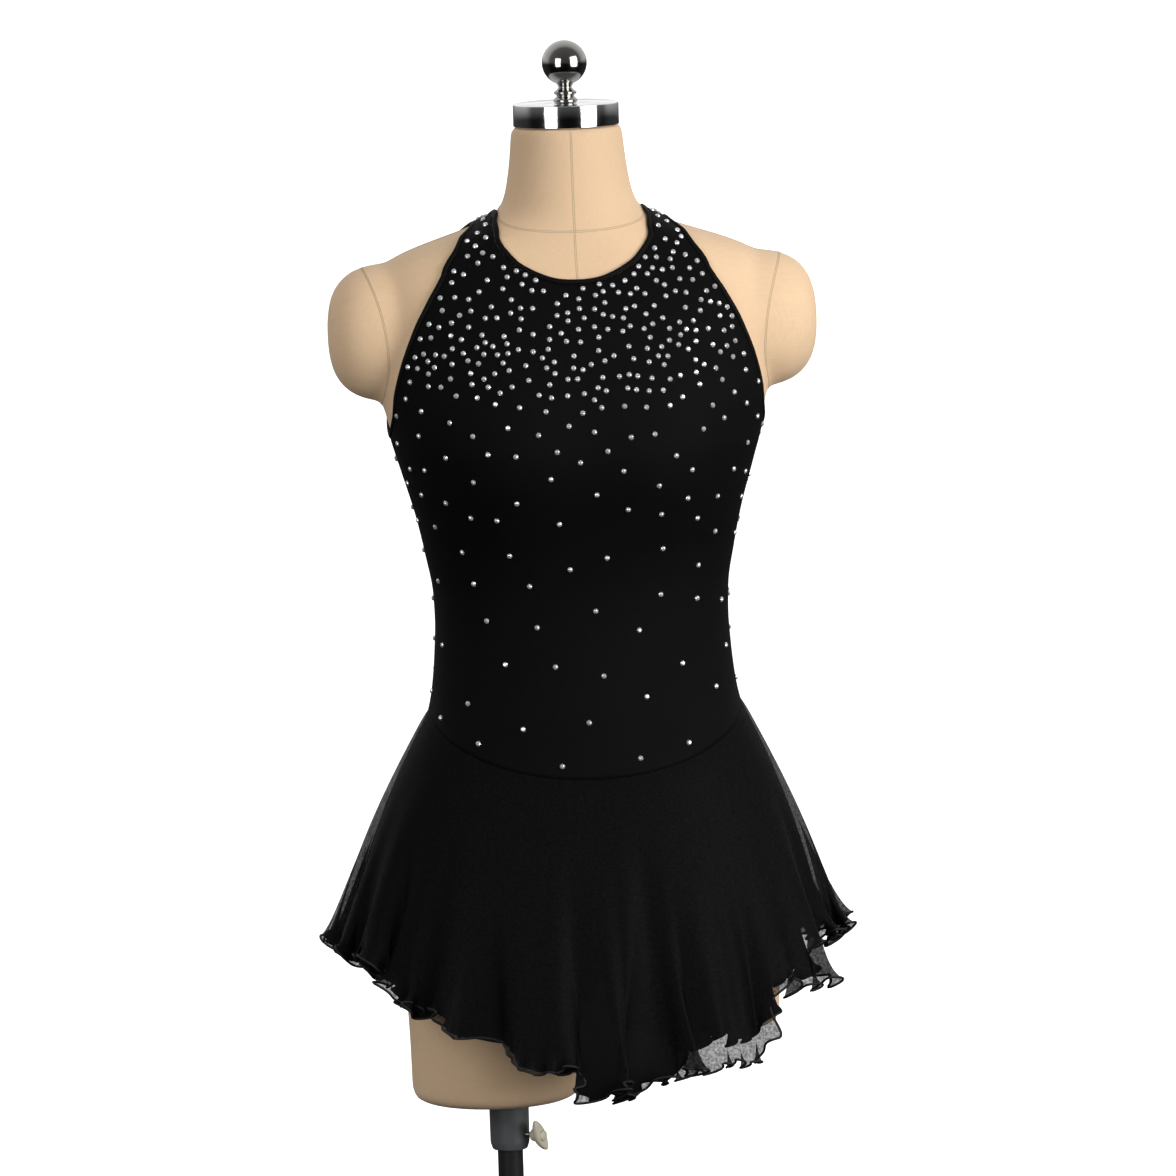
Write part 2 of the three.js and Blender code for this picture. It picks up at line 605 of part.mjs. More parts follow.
const formSolid = toSolid(trunk(0, TRUNK_HEIGHTS))
  .add(toSolid(thigh(-1, LONG_THIGH_Z, 0)))
  .add(toSolid(thigh(1, SHORT_THIGH_Z, 0)))
  .add(toSolid(armPlate(-1)))
  .add(toSolid(armPlate(1)))
  .subtract(toSolid(bar(BORE_RADIUS, LONG_THIGH_Z - 10, BORE_TOP_Z).translate(-FORM_AXIS_X, 0, 0)));

// ------------------------------------------------------------------ the briefs
const BRIEFS_BELOW_SEAM = 32;
const BRIEFS_HEIGHTS = [610, 612, 619, 633, 650, 674, 700, 728, 760];
const BRIEFS_REACH = 175; // wider than the form at every height
const BRIEFS_HIP = 150; // where the waist seam's height is read at the sides
const BRIEFS_LEG_END_Z = 560;
const GUSSET_HALF = 34;
const GUSSET_Z = 600;
const LEG_SIDE_Z = 672;
const LEG_STEPS = 7;

/** Half of the briefs: the skin between two grown forms, cut to an outline
 * that is seen from the front and runs through from the middle outwards. */
function briefsHalf(back) {
  const skin = (growth) => toSolid(trunk(growth, BRIEFS_HEIGHTS))
    .add(toSolid(thigh(-1, BRIEFS_LEG_END_Z, growth)))
    .add(toSolid(thigh(1, BRIEFS_LEG_END_Z, growth)));
  const centre = back ? Math.PI : 0;
  const top = Array.from({ length: 2 * LEG_STEPS + 1 }, (_, i) => {
    const x = BRIEFS_REACH * (1 - i / LEG_STEPS);
    const angle = centre + Math.asin(THREE.MathUtils.clamp(x / BRIEFS_HIP, -1, 1));
    return new THREE.Vector2(x, waistHeight(angle) - BRIEFS_BELOW_SEAM);
  });
  const leg = Array.from({ length: LEG_STEPS + 1 }, (_, i) => {
    const share = i / LEG_STEPS;
    const curve = back ? share ** 1.7 : Math.sin(share * QUARTER);
    const x = THREE.MathUtils.lerp(GUSSET_HALF, BRIEFS_REACH, share);
    return new THREE.Vector2(x, THREE.MathUtils.lerp(GUSSET_Z, LEG_SIDE_Z, curve));
  });
  const outline = new THREE.Shape([
    ...leg.map(({ x, y }) => new THREE.Vector2(-x, y)).reverse(), ...leg, ...top,
  ]);
  const cutter = new THREE.ExtrudeGeometry(outline, { depth: 200, bevelEnabled: false })
    .rotateX(QUARTER)
    .translate(0, back ? 200 + SEAM_GAP / 2 : -SEAM_GAP / 2, 0);
  return skin(CLOTH_GAP + KNIT).subtract(skin(CLOTH_GAP)).intersect(toSolid(cutter));
}

// ------------------------------------------------------------------- the stand
const POLE_RADIUS = 11;
const POLE_TOP_Z = 765;
const BASE_RADIUS = 175;
const BASE_THICKNESS = 7;
const HUB_RADIUS = 20;
const HUB_TOP_Z = 46;
const SOCKET_FLOOR_Z = 3;
const POLE_FIT = 0.4;
const COLLAR_BOTTOM_Z = 404;
const COLLAR_RADIUS = 17;
const SCREW_Z = 417.5;
const SCREW_RADIUS = 2.2;
const SCREW_TURN = -35 * DEGREE; // the clamp screw points to +X and forwards
const KNOB_START = 27;
const KNOB_LENGTH = 34;
const KNOB_WIDTH = 14;
const KNOB_THICKNESS = 7;
const KNOB_TILT = 35 * DEGREE;
const CAP_RADIUS = 45.3;
const CAP_BOTTOM_Z = 1289.3;
const CAP_TOP_Z = 1308.5;
const BALL_RADIUS = 19.3;
const BALL_Z = 1342.8;

/** A round plate with a bevelled rim and a hub that holds the pole. */
function baseGeometry() {
  const socket = POLE_RADIUS + POLE_FIT;
  return turned([
    [0, 0], [BASE_RADIUS, 0], [BASE_RADIUS, BASE_THICKNESS - 3],
    [BASE_RADIUS - 4, BASE_THICKNESS], [HUB_RADIUS + 14, BASE_THICKNESS + 1.5],
    [HUB_RADIUS, BASE_THICKNESS + 12], [HUB_RADIUS, HUB_TOP_Z - 3], [HUB_RADIUS - 3, HUB_TOP_Z],
    [socket, HUB_TOP_Z], [socket, SOCKET_FLOOR_Z], [0, SOCKET_FLOOR_Z],
  ], 32);
}

/** The grey collar under the long thigh, bored for the pole and the screw. */
function collarGeometry() {
  const top = LONG_THIGH_Z - SEAM_GAP;
  const bore = POLE_RADIUS + 0.8;
  const lip = COLLAR_RADIUS + 3;
  const ring = toSolid(turned([
    [bore, COLLAR_BOTTOM_Z], [COLLAR_RADIUS - 4, COLLAR_BOTTOM_Z],
    [COLLAR_RADIUS - 1, COLLAR_BOTTOM_Z + 3], [COLLAR_RADIUS, top - 6],
    [lip, top - 2.5], [lip, top], [bore, top], [bore, COLLAR_BOTTOM_Z],
  ], ROUND_SEGMENTS));
  const hole = bar(SCREW_RADIUS + 0.4, 4, 30, 12).rotateY(QUARTER).rotateZ(SCREW_TURN);
  return fromSolid(ring.subtract(toSolid(hole.translate(0, 0, SCREW_Z))));
}

/** The clamp screw with its leaf-shaped knob, along +X from the pole. */
function knobGeometry() {
  const rod = toSolid(bar(SCREW_RADIUS, POLE_RADIUS + 0.5, KNOB_START + 4, 12).rotateY(QUARTER));
  const boss = toSolid(turned([
    [0, KNOB_START - 3], [4.5, KNOB_START - 3], [5.5, KNOB_START + 1],
    [4, KNOB_START + 9], [0, KNOB_START + 10],
  ], 14).rotateY(QUARTER));
  const steps = 20;
  const leafRing = (share, size) => Array.from({ length: steps }, (_, i) => {
    const angle = (2 * Math.PI * i) / steps;
    const [along, across] = [Math.cos(angle), Math.sin(angle)];
    return new THREE.Vector3(
      KNOB_START + 3 + share * KNOB_THICKNESS,
      (-across * size * KNOB_WIDTH * (1 - 0.25 * along * along)) / 2,
      (along * size * KNOB_LENGTH) / 2);
  });
  const layers = [[-0.5, 0.8], [-0.28, 0.97], [0.28, 0.97], [0.5, 0.8]];
  const leaf = toSolid(loft(layers.map(([share, size]) => leafRing(share, size))));
  return fromSolid(rod.add(boss).add(leaf)).rotateX(KNOB_TILT);
}

function capGeometry() {
  return turned([
    [0, CAP_BOTTOM_Z], [CAP_RADIUS - 0.8, CAP_BOTTOM_Z], [CAP_RADIUS, CAP_BOTTOM_Z + 0.8],
    [CAP_RADIUS, CAP_TOP_Z - 1.2], [CAP_RADIUS - 1.2, CAP_TOP_Z], [0, CAP_TOP_Z],
  ], 28);
}

/** The finial: a stepped foot, two beads and a ball, turned in one piece. */
function finialGeometry() {
  const foot = CAP_TOP_Z + SEAM_GAP;
  const ball = Array.from({ length: 10 }, (_, i) => {
    const angle = THREE.MathUtils.lerp(-66, 90, i / 9) * DEGREE;
    return [i === 9 ? 0 : BALL_RADIUS * Math.cos(angle), BALL_Z + BALL_RADIUS * Math.sin(angle)];
  });
  return turned([
    [0, foot], [10, foot], [10.4, foot + 2.4], [8.6, foot + 4.6], [7.4, foot + 5.6], [9.4, foot + 7.4],
    [9.4, foot + 9.4], [7, foot + 11.4], [5.6, foot + 13], ...ball,
  ], 16);
}

// -------------------------------------------------------------------- assembly
const FINISHES = {
  knit: { color: 0x0b0b0c, roughness: 0.85, metalness: 0 },
  chiffon: { color: 0x0d0d0f, roughness: 0.8, metalness: 0 },
  elastic: { color: 0x0a0a0b, roughness: 0.7, metalness: 0 },
  linen: { color: 0xcaa67e, roughness: 0.9, metalness: 0 },
  chrome: { color: 0xc8cacc, roughness: 0.12, metalness: 1 },
  nickel: { color: 0x5a5a5c, roughness: 0.18, metalness: 1 },
  blackPaint: { color: 0x141415, roughness: 0.4, metalness: 0.2 },
  greyPlastic: { color: 0x55585b, roughness: 0.5, metalness: 0 },
  creamPlastic: { color: 0xe2d9c4, roughness: 0.45, metalness: 0 },
};

function piece(name, geometry, finish) {
  const mesh = new THREE.Mesh(geometry, new THREE.MeshStandardMaterial(FINISHES[finish]));
  mesh.name = name;
  return mesh;
}

const dress = new THREE.Group();
dress.add(
  piece('bodice_front', bodicePanel(
    { nodes: quarterOf(neckSeam, 0, NECK_STEPS, false), share: 0.72, back: false },
    quarterOf(armSeam, 0, ARM_STEPS, false)), 'knit'),
  piece('bodice_back', bodicePanel(
    { nodes: quarterOf(neckSeam, NECK_STEPS, NECK_STEPS, true), share: 0.76, back: true },
    quarterOf(armSeam, ARM_STEPS, ARM_STEPS, true)), 'knit'),
  piece('neck_binding', binding(neckFinished, true), 'elastic'),
  piece('armhole_binding_left', binding(armFinished, false, -1), 'elastic'),
  piece('armhole_binding_right', binding(armFinished, false), 'elastic'),
  piece('briefs_front', fromSolid(briefsHalf(false)), 'knit'),
  piece('briefs_back', fromSolid(briefsHalf(true)), 'knit'),
  piece('skirt_outer_front', skirtHalf(LAYERS.outer, 0), 'chiffon'),
  piece('skirt_outer_back', skirtHalf(LAYERS.outer, Math.PI), 'chiffon'),
  piece('skirt_inner_front', skirtHalf(LAYERS.inner, 0), 'chiffon'),
  piece('skirt_inner_back', skirtHalf(LAYERS.inner, Math.PI), 'chiffon'),
);

const form = new THREE.Group();
form.add(
  piece('form_body', fromSolid(formSolid), 'linen'),
  piece('neck_cap', capGeometry(), 'chrome'),
  piece('finial', finialGeometry(), 'nickel'),
);
const dressedForm = new THREE.Group();
dressedForm.position.x = FORM_AXIS_X;
dressedForm.add(dress, form);

const knob = piece('clamp_knob', knobGeometry(), 'creamPlastic');
knob.position.z = SCREW_Z;
knob.rotation.z = SCREW_TURN;

const stand = new THREE.Group();
stand.add(
  piece('stand_base', baseGeometry(), 'blackPaint'),
  piece('stand_pole', bar(POLE_RADIUS, SOCKET_FLOOR_Z + SEAM_GAP, POLE_TOP_Z), 'blackPaint'),
  piece('form_collar', collarGeometry(), 'greyPlastic'),
  knob,
);

const model = new THREE.Group();
model.add(stand, dressedForm);
export default model;
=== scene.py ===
import bmesh
import bpy
import numpy as np
from mathutils import Matrix


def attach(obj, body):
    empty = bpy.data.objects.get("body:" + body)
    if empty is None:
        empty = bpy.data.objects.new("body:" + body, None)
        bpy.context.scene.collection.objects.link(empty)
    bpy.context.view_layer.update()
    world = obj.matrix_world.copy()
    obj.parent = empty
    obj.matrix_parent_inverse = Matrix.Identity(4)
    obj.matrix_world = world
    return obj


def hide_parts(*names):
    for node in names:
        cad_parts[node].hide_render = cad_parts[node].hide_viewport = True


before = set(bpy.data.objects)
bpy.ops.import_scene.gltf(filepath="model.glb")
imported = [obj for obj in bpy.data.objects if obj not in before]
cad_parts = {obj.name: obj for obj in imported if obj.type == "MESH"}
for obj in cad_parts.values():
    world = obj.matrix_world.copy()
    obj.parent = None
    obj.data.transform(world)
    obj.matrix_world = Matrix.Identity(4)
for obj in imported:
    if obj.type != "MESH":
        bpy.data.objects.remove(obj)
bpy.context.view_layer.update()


# ---------------- base and pole
# A round steel plate with a short hub, powder coated satin black, and a black
# steel tube that stands in the hub. Both are turned shapes.
MM = 0.001
TAU = 2 * np.pi
SAME_PLACE = 1e-7  # points nearer than this are one


class Sock:
    """A node's output; arithmetic on it adds Math nodes, and add() any other."""

    def __init__(self, tree, link):
        self.tree, self.link = tree, link

    def add(self, kind, settings, inputs):
        """A node of a kind, with its settings and its sockets' values or links, by
        name or number. Returns its outputs as a function of their names."""
        node = self.tree.nodes.new(kind)
        for key, value in settings.items():
            if key == "stops":
                ramp = node.color_ramp.elements
                while len(ramp) < len(value):
                    ramp.new(1.0)
                for stop, (place, colour) in zip(ramp, value):
                    stop.position, stop.color = place, (*colour, 1.0)
            else:
                setattr(node, key, value)
        for key, value in inputs.items():
            if isinstance(value, Sock):
                self.tree.links.new(value.link, node.inputs[key])
            else:
                node.inputs[key].default_value = value
        return lambda out=0: Sock(self.tree, node.outputs[out])

    def split(self):
        """Its X, Y and Z."""
        parts = self.add("ShaderNodeSeparateXYZ", {}, {0: self})
        return parts("X"), parts("Y"), parts("Z")

    def math(self, operation, *values):
        return self.add("ShaderNodeMath", {"operation": operation}, dict(enumerate(values)))()

    def __add__(self, other):
        return self.math("ADD", self, other)

    def __sub__(self, other):
        return self.math("SUBTRACT", self, other)

    def __mul__(self, other):
        return self.math("MULTIPLY", self, other)


def finish(name, constants, surface=None):
    """A Principled material: constants go on its own sockets, and surface, given
    the Object coordinates and the piece's own map, returns what varies."""
    material = bpy.data.materials.new(name)
    material.use_nodes = True
    tree = material.node_tree
    shader = tree.nodes["Principled BSDF"]
    for key, value in constants.items():
        shader.inputs[key].default_value = value
    if surface:
        places = tree.nodes.new("ShaderNodeTexCoord")
        varied = surface(Sock(tree, places.outputs["Object"]), Sock(tree, places.outputs["UV"]))
        for key, value in varied.items():
            tree.links.new(value.link, shader.inputs[key])
    return material


def noise(place, scale, detail=3.0):
    """Cloudy values about a half, at a number of clouds in a metre."""
    return place.add("ShaderNodeTexNoise", {}, {"Vector": place, "Scale": scale, "Detail": detail})("Fac")


def bump(place, height, distance, strength=1.0):
    """The normal of a height field, in metres."""
    return place.add("ShaderNodeBump", {}, {"Height": height, "Distance": distance, "Strength": strength})()


def whole_turn(sides):
    """Even angles once round."""
    return np.arange(sides) * TAU / sides


def points_from(*coordinates):
    """Points from their coordinates, which are spread to one shape first."""
    return np.stack(np.broadcast_arrays(*coordinates), -1)


def grid_cells(rows, columns, around=False):
    """Cells of a grid of points stored row by row; around joins its two sides."""
    r, c = np.meshgrid(np.arange(rows - 1), np.arange(columns if around else columns - 1), indexing="ij")
    low, high, right = r * columns, (r + 1) * columns, (c + 1) % columns
    return points_from(low + c, low + right, high + right, high + c).reshape(-1, 4)


def placed(name, data):
    """An object of the scene from its mesh, light or camera."""
    item = bpy.data.objects.new(name, data)
    bpy.context.scene.collection.objects.link(item)
    return item


def piece(name, points, cells, material, slot, body, weld=False, flat_map=None, smooth=True):
    """An object from arrays of points and cells, riding on a body. The flat map
    places each point of a cloth in its own plane."""
    mesh = bpy.data.meshes.new(name)
    cells = [np.asarray(c) for c in (cells if isinstance(cells, list) else [cells])]
    mesh.from_pydata(np.asarray(points).tolist(), [], sum((c.tolist() for c in cells), []))
    if flat_map is not None:
        corner = np.zeros(len(mesh.loops), dtype=np.int32)
        mesh.loops.foreach_get("vertex_index", corner)
        mesh.uv_layers.new(name="cloth").data.foreach_set("uv", np.asarray(flat_map)[corner].ravel())
    if weld:
        shape = bmesh.new()
        shape.from_mesh(mesh)
        bmesh.ops.remove_doubles(shape, verts=shape.verts, dist=SAME_PLACE)
        shape.to_mesh(mesh)
        shape.free()
    mesh.polygons.foreach_set("use_smooth", np.full(len(mesh.polygons), smooth))
    mesh.materials.append(material)
    item = placed(name, mesh)
    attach(item, body)
    return item


def turned(profile, sides):
    """Points and cells of a profile of (radius, height) in mm, turned round Z."""
    radius, height = np.array(profile, float).T[..., None] * MM
    turn = whole_turn(sides)
    points = points_from(radius * np.sin(turn), -radius * np.cos(turn), height)
    return points.reshape(-1, 3), grid_cells(len(profile), sides, around=True)


def turned_piece(name, profile, sides, *looks, x=0.0):
    """A piece turned round an upright axis at x."""
    points, cells = turned(profile, sides)
    return piece(name, points + (x, 0, 0), cells, *looks, weld=True)


def rounded(profile, radius, steps=4):
    """A profile whose corners, but for its two ends, turn in a quadratic curve
    that starts a radius before each corner, in mm, and ends as far after it."""
    out = [profile[0]]
    for before, corner, after in zip(profile, profile[1:], profile[2:]):
        corner = np.array(corner, float)
        ways = [before - corner, after - corner]
        reach = min(radius, *(0.45 * np.hypot(*way) for way in ways))
        start, end = (corner + way / np.hypot(*way) * reach for way in ways)
        for t in np.linspace(0, 1, steps + 1):
            out.append(tuple((1 - t) ** 2 * start + 2 * t * (1 - t) * corner + t * t * end))
    return out + [profile[-1]]


def coated_black(place, _):
    """Fine speckles, as baked powder has."""
    speckle = noise(place, 900.0, 2.0)
    return {"Roughness": speckle * 0.16 + 0.46, "Normal": bump(place, speckle, 0.00006)}


coat = {"Base Color": (0.011, 0.011, 0.012, 1), "Specular IOR Level": 0.3}
black_paint = finish("satin black powder coat", coat, coated_black)
BASE_RADIUS, HUB_RADIUS, HUB_TOP, HUB_BORE, HUB_FLOOR = 175, 20, 46, 11.4, 3
base_profile = rounded([
    (0, 0), (BASE_RADIUS, 0), (BASE_RADIUS, 7), (34, 8.5), (HUB_RADIUS, 19), (HUB_RADIUS, HUB_TOP),
    (HUB_BORE, HUB_TOP), (HUB_BORE, HUB_FLOOR), (0, HUB_FLOOR),
], 3.2)
base = turned_piece("base_plate", base_profile, 128, black_paint, "black_paint", "stand")
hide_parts("stand_base")
POLE_RADIUS, POLE_FOOT, POLE_TOP = 11, 3.3, 765
pole_profile = rounded([(0, POLE_FOOT), (POLE_RADIUS, POLE_FOOT), (POLE_RADIUS, POLE_TOP), (0, POLE_TOP)], 1)
pole = turned_piece("pole_tube", pole_profile, 64, black_paint, "black_paint", "stand")
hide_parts("stand_pole")


# ---------------- collar and clamp
# A moulded grey collar fixed under the form's long thigh, which slides on the
# pole. A steel screw through its wall clamps it, turned by a cream plastic wing.
DEGREE = np.pi / 180


def blend_colour(place, share, low, high):
    """Low where the share is 0 and high where it is 1."""
    settings = {"data_type": "RGBA", "clamp_factor": True}
    return place.add("ShaderNodeMix", settings, {0: share, 6: (*low, 1.0), 7: (*high, 1.0)})(2)


def moulded(colour_low, colour_high, roughness):
    """Slightly mottled plastic with the fine grain of its mould."""
    def surface(place, _):
        mottle = noise(place, 120.0)
        return {
            "Base Color": blend_colour(place, mottle, colour_low, colour_high),
            "Roughness": mottle * 0.12 + roughness,
            "Normal": bump(place, noise(place, 2200.0, 1.0), 0.00003),
        }
    return surface


grey_plastic = finish("grey moulded plastic", {}, moulded((0.085, 0.09, 0.095), (0.12, 0.125, 0.13), 0.4))
cream_plastic = finish("cream moulded plastic", {}, moulded((0.76, 0.7, 0.54), (0.86, 0.8, 0.64), 0.34))


def metal(name, colour, clouds, spread, least):
    """Bare metal whose roughness drifts above its least by a spread of clouds."""
    constants = {"Base Color": (*colour, 1), "Metallic": 1.0}
    return finish(name, constants, lambda place, _: {"Roughness": noise(place, clouds) * spread + least})


steel = metal("zinc plated steel", (0.45, 0.45, 0.46), 700.0, 0.25, 0.2)
COLLAR_BORE, COLLAR_FOOT, COLLAR_TOP, COLLAR_LIP = 11.8, 404, 449.7, 20
collar_profile = rounded([
    (COLLAR_BORE, 440), (COLLAR_BORE, COLLAR_FOOT), (15, COLLAR_FOOT), (17, 410), (17.2, 443),
    (COLLAR_LIP, 446), (COLLAR_LIP, COLLAR_TOP), (COLLAR_BORE, COLLAR_TOP), (COLLAR_BORE, 440),
], 2.2)
collar = turned_piece("collar_sleeve", collar_profile, 72, grey_plastic, "grey_plastic", "form")
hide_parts("form_collar")

SCREW_Z = 0.4175
SCREW_TURN = -35 * DEGREE
WING_TILT = 35 * DEGREE


def along_screw(points, tilt=0.0):
    """Points made round or beside Z, turned to lie along the clamp screw."""
    z, y, x = points.T * np.array([[-1], [1], [1]])  # Z goes to X
    y, z = y * np.cos(tilt) - z * np.sin(tilt), y * np.sin(tilt) + z * np.cos(tilt)
    turn_cos, turn_sin = np.cos(SCREW_TURN), np.sin(SCREW_TURN)
    return points_from(x * turn_cos - y * turn_sin, x * turn_sin + y * turn_cos, z + SCREW_Z)


def thread_profile(radius, start, end, pitch, depth):
    """A rod whose radius rises and falls once in each pitch, as a thread's crests do."""
    steps = np.arange(start, end, pitch / 4)
    crest = radius - depth * (0.5 - 0.5 * np.cos(TAU * (steps - start) / pitch))
    return [(0, start), *zip(crest, steps), (0, steps[-1])]


screw_points, screw_cells = turned(thread_profile(2.2, 11.5, 26, 0.8, 0.25), 20)
screw = piece("screw", along_screw(screw_points), screw_cells, steel, "cream_plastic", "knob", weld=True)

WING_LONG, WING_WIDE, WING_THICK, WING_MIDDLE = 34, 14, 7, 30
WING_SIDES, WING_RINGS = 48, 17


def wing_surface():
    """A leaf: an oval whose width narrows to its two ends, thick in the middle
    and rounded over at its rim, swept as rings from its back to its front."""
    around = whole_turn(WING_SIDES)
    depth = np.linspace(-1, 1, WING_RINGS)[:, None]
    size = (1 - np.abs(depth) ** 2.6 * 0.999) ** (1 / 2.6)
    along, across = np.cos(around), np.sin(around)
    narrow = 1 - 0.28 * along**2
    height = (0.86 + 0.14 * size) * size**0.35 * along * WING_LONG / 2
    width = (0.62 + 0.38 * size) * size**0.35 * across * narrow * WING_WIDE / 2
    dish = 1.1 * along**2  # the two ends bend back a little
    reach = WING_MIDDLE + depth * WING_THICK / 2 * (1 - 0.3 * along**2) + dish
    return points_from(-height, -width, reach).reshape(-1, 3) * MM


cream = (cream_plastic, "cream_plastic", "knob")
wing_cells = grid_cells(WING_RINGS, WING_SIDES, around=True)[:, ::-1]
wing = piece("screw_wing", along_screw(wing_surface(), WING_TILT), wing_cells, *cream)
boss_points, boss_cells = turned(rounded([(0, 22.6), (5, 22.6), (6, 27), (4.6, 35), (0, 36)], 1), 32)
boss = piece("wing_boss", along_screw(boss_points), boss_cells, *cream, weld=True)
for part in (screw, wing, boss):
    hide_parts("clamp_knob")


# ---------------- the form's body
# A women's dress form without limbs: a foam trunk with two arm plates and two
# thighs of unequal length, under one tight skin of oatmeal linen.
FORM_X = 76.5 * MM  # the form's axis, from the pole's
FORM_PLACE = (FORM_X, 0, 0)
FORM_SECTIONS = np.array([  # height, half width, depth in front, behind, power of the rounded section
    (610, 30, 12, 20, 2), (612, 95, 48, 60, 2), (619, 135, 76, 92, 2), (633, 158, 96, 113, 2.1),
    (650, 165.5, 104, 121, 2.2), (690, 164, 107, 124, 2.2), (728, 155, 105, 116, 2.2),
    (760, 143, 101, 104, 2.1), (790, 132.5, 98, 93, 2.1), (811, 128.5, 95, 86, 2.1),
    (842, 125.5, 92, 79, 2.1), (866, 124.3, 91, 77, 2.1), (890, 125, 92, 77, 2.1),
    (926, 131, 97, 82, 2.1), (957, 137.5, 103, 88, 2.2), (999, 149.5, 112, 97, 2.2),
    (1023, 156.5, 114, 102, 2.25), (1060, 165, 112, 106, 2.25), (1090, 167, 105, 106, 2.25),
    (1120, 168.5, 95, 102, 2.2), (1145, 169.5, 83, 95, 2.2), (1160, 169, 75, 89, 2.1),
    (1171, 165, 69, 83, 2), (1179, 155, 65, 79, 2), (1187, 138, 62, 75, 2), (1197, 109, 60, 71, 2),
    (1204, 88, 59, 67, 2), (1211, 73, 57.5, 63, 2), (1218, 61, 56, 60, 2), (1233, 54.5, 54, 56, 2),
    (1262, 49.8, 51, 51, 2), (1289, 47.4, 50, 47, 2),
])
THIGH_SECTIONS = np.array([  # height, middle, half width, depth in front, behind
    (440, 86.5, 72.5, 74, 82), (500, 86.5, 73.5, 77, 86), (560, 85.5, 77, 83, 94),
    (605, 85, 79, 89, 101), (650, 86, 76, 93, 106), (690, 86, 60, 80, 90),
])


def column_curve(at, values):
    """A smooth curve through a table's column that never overshoots a row:
    cubics whose slopes are harmonic means of their neighbours'."""
    slopes = np.diff(values) / np.diff(at)
    before, after = slopes[:-1], slopes[1:]
    same = before * after > 0
    inner = np.where(same, 2 * before * after / np.where(same, before + after, 1), 0)
    tangents = np.concatenate([slopes[:1], inner, slopes[-1:]])

    def curve(position):
        i = np.clip(np.searchsorted(at, position, side="right") - 1, 0, len(at) - 2)
        span = at[i + 1] - at[i]
        t = np.clip((position - at[i]) / span, 0, 1)
        t2, t3 = t * t, t**3
        ends = values[i] * (2 * t3 - 3 * t2 + 1) + values[i + 1] * (3 * t2 - 2 * t3)
        return ends + span * (tangents[i] * (t3 - 2 * t2 + t) + tangents[i + 1] * (t3 - t2))

    return curve


def table_curves(table):
    """A curve through each of a table's columns, against its first one."""
    return [column_curve(table[:, 0], column) for column in table.T[1:]]


form_half, form_front, form_back, form_power = table_curves(FORM_SECTIONS * (MM, MM, MM, MM, 1))
thigh_middle, thigh_half, thigh_front, thigh_back = table_curves(THIGH_SECTIONS * MM)
BUST_APART, BUST_Z, BUST_RISE = 70 * MM, 1014 * MM, 18 * MM
BUST_SPREAD_X, BUST_SPREAD_Z = 48 * MM, 50 * MM


def form_point(angle, z):
    """The trunk's points, about its own axis: at each height a rounded section,
    x^p + y^p = 1 scaled to its reaches, with two soft rises on the bust. The
    angle is 0 at the centre front and a quarter turn at the +X side."""
    across, along = np.sin(angle), np.cos(angle)
    power = form_power(z)
    reach = (np.abs(across) ** power + np.abs(along) ** power) ** (-1 / power)
    x = form_half(z) * across * reach
    y = -np.where(along > 0, form_front(z), form_back(z)) * along * reach
    for side in (-1, 1):
        u, v = (x - side * BUST_APART) / BUST_SPREAD_X, (z - BUST_Z) / BUST_SPREAD_Z
        y = y - BUST_RISE * np.exp(-(u * u + v * v) / 2) * np.maximum(along, 0) ** 0.5
    return points_from(x, y, z)


def unit(vectors):
    """The vectors' directions, at length one."""
    return vectors / np.linalg.norm(vectors, axis=-1, keepdims=True)


def form_tangents(angle, z):
    """The trunk's tangents round and up it, from small differences, and its
    outward unit normal, their cross product."""
    turn, lift = 1e-3, 5e-5
    around = (form_point(angle + turn, z) - form_point(angle - turn, z)) / (2 * turn)
    upward = (form_point(angle, z + lift) - form_point(angle, z - lift)) / (2 * lift)
    return around, upward, unit(np.cross(around, upward))


def off_form(angle, z, distance):
    """Points a distance off the trunk, placed in the whole object."""
    normal = form_tangents(angle, z)[2]
    return form_point(angle, z) + normal * np.asarray(distance)[..., None] + FORM_PLACE


def closed_rings(rings):
    """A closed solid through rings of points; each end is drawn to its middle."""
    rings = np.asarray(rings)
    ends = [np.broadcast_to(rings[i].mean(0), rings[i].shape) for i in (0, -1)]
    full = np.stack([ends[0], *rings, ends[1]])
    return full.reshape(-1, 3), grid_cells(len(full), full.shape[1], around=True)


def trunk_rings():
    """Level rings, closer together in the crotch and over the shoulders."""
    spans = ((610.2, 634, 14), (638, 1150, 120), (1153, 1289, 60))  # from and to, mm, and how many rings
    height = np.concatenate([np.linspace(*span) for span in spans])
    return form_point(whole_turn(160)[None, :], height[:, None] * MM) + FORM_PLACE


def thigh_rings(side, bottom):
    """One thigh from its rounded lower edge, a quarter circle, up into the hips."""
    edge = 9 * MM
    share = np.linspace(0, 1, 8)
    height = np.concatenate([bottom + edge * share, np.linspace(bottom + 1.2 * edge, 0.69, 40)])
    shrink = np.concatenate([edge * (1 - np.sqrt(1 - (1 - share) ** 2)), np.zeros(40)])[:, None]
    turn, z = whole_turn(120)[None, :], height[:, None]
    depth = np.where(np.cos(turn) > 0, thigh_front(z), thigh_back(z)) - shrink
    x = FORM_X + side * thigh_middle(z) + (thigh_half(z) - shrink) * np.sin(turn)
    return points_from(x, -depth * np.cos(turn), z)


PLATE_MIDDLE = np.array([150, 2, 1117.5]) * MM
PLATE_REACH = np.array([60, 50, 59.5]) * MM


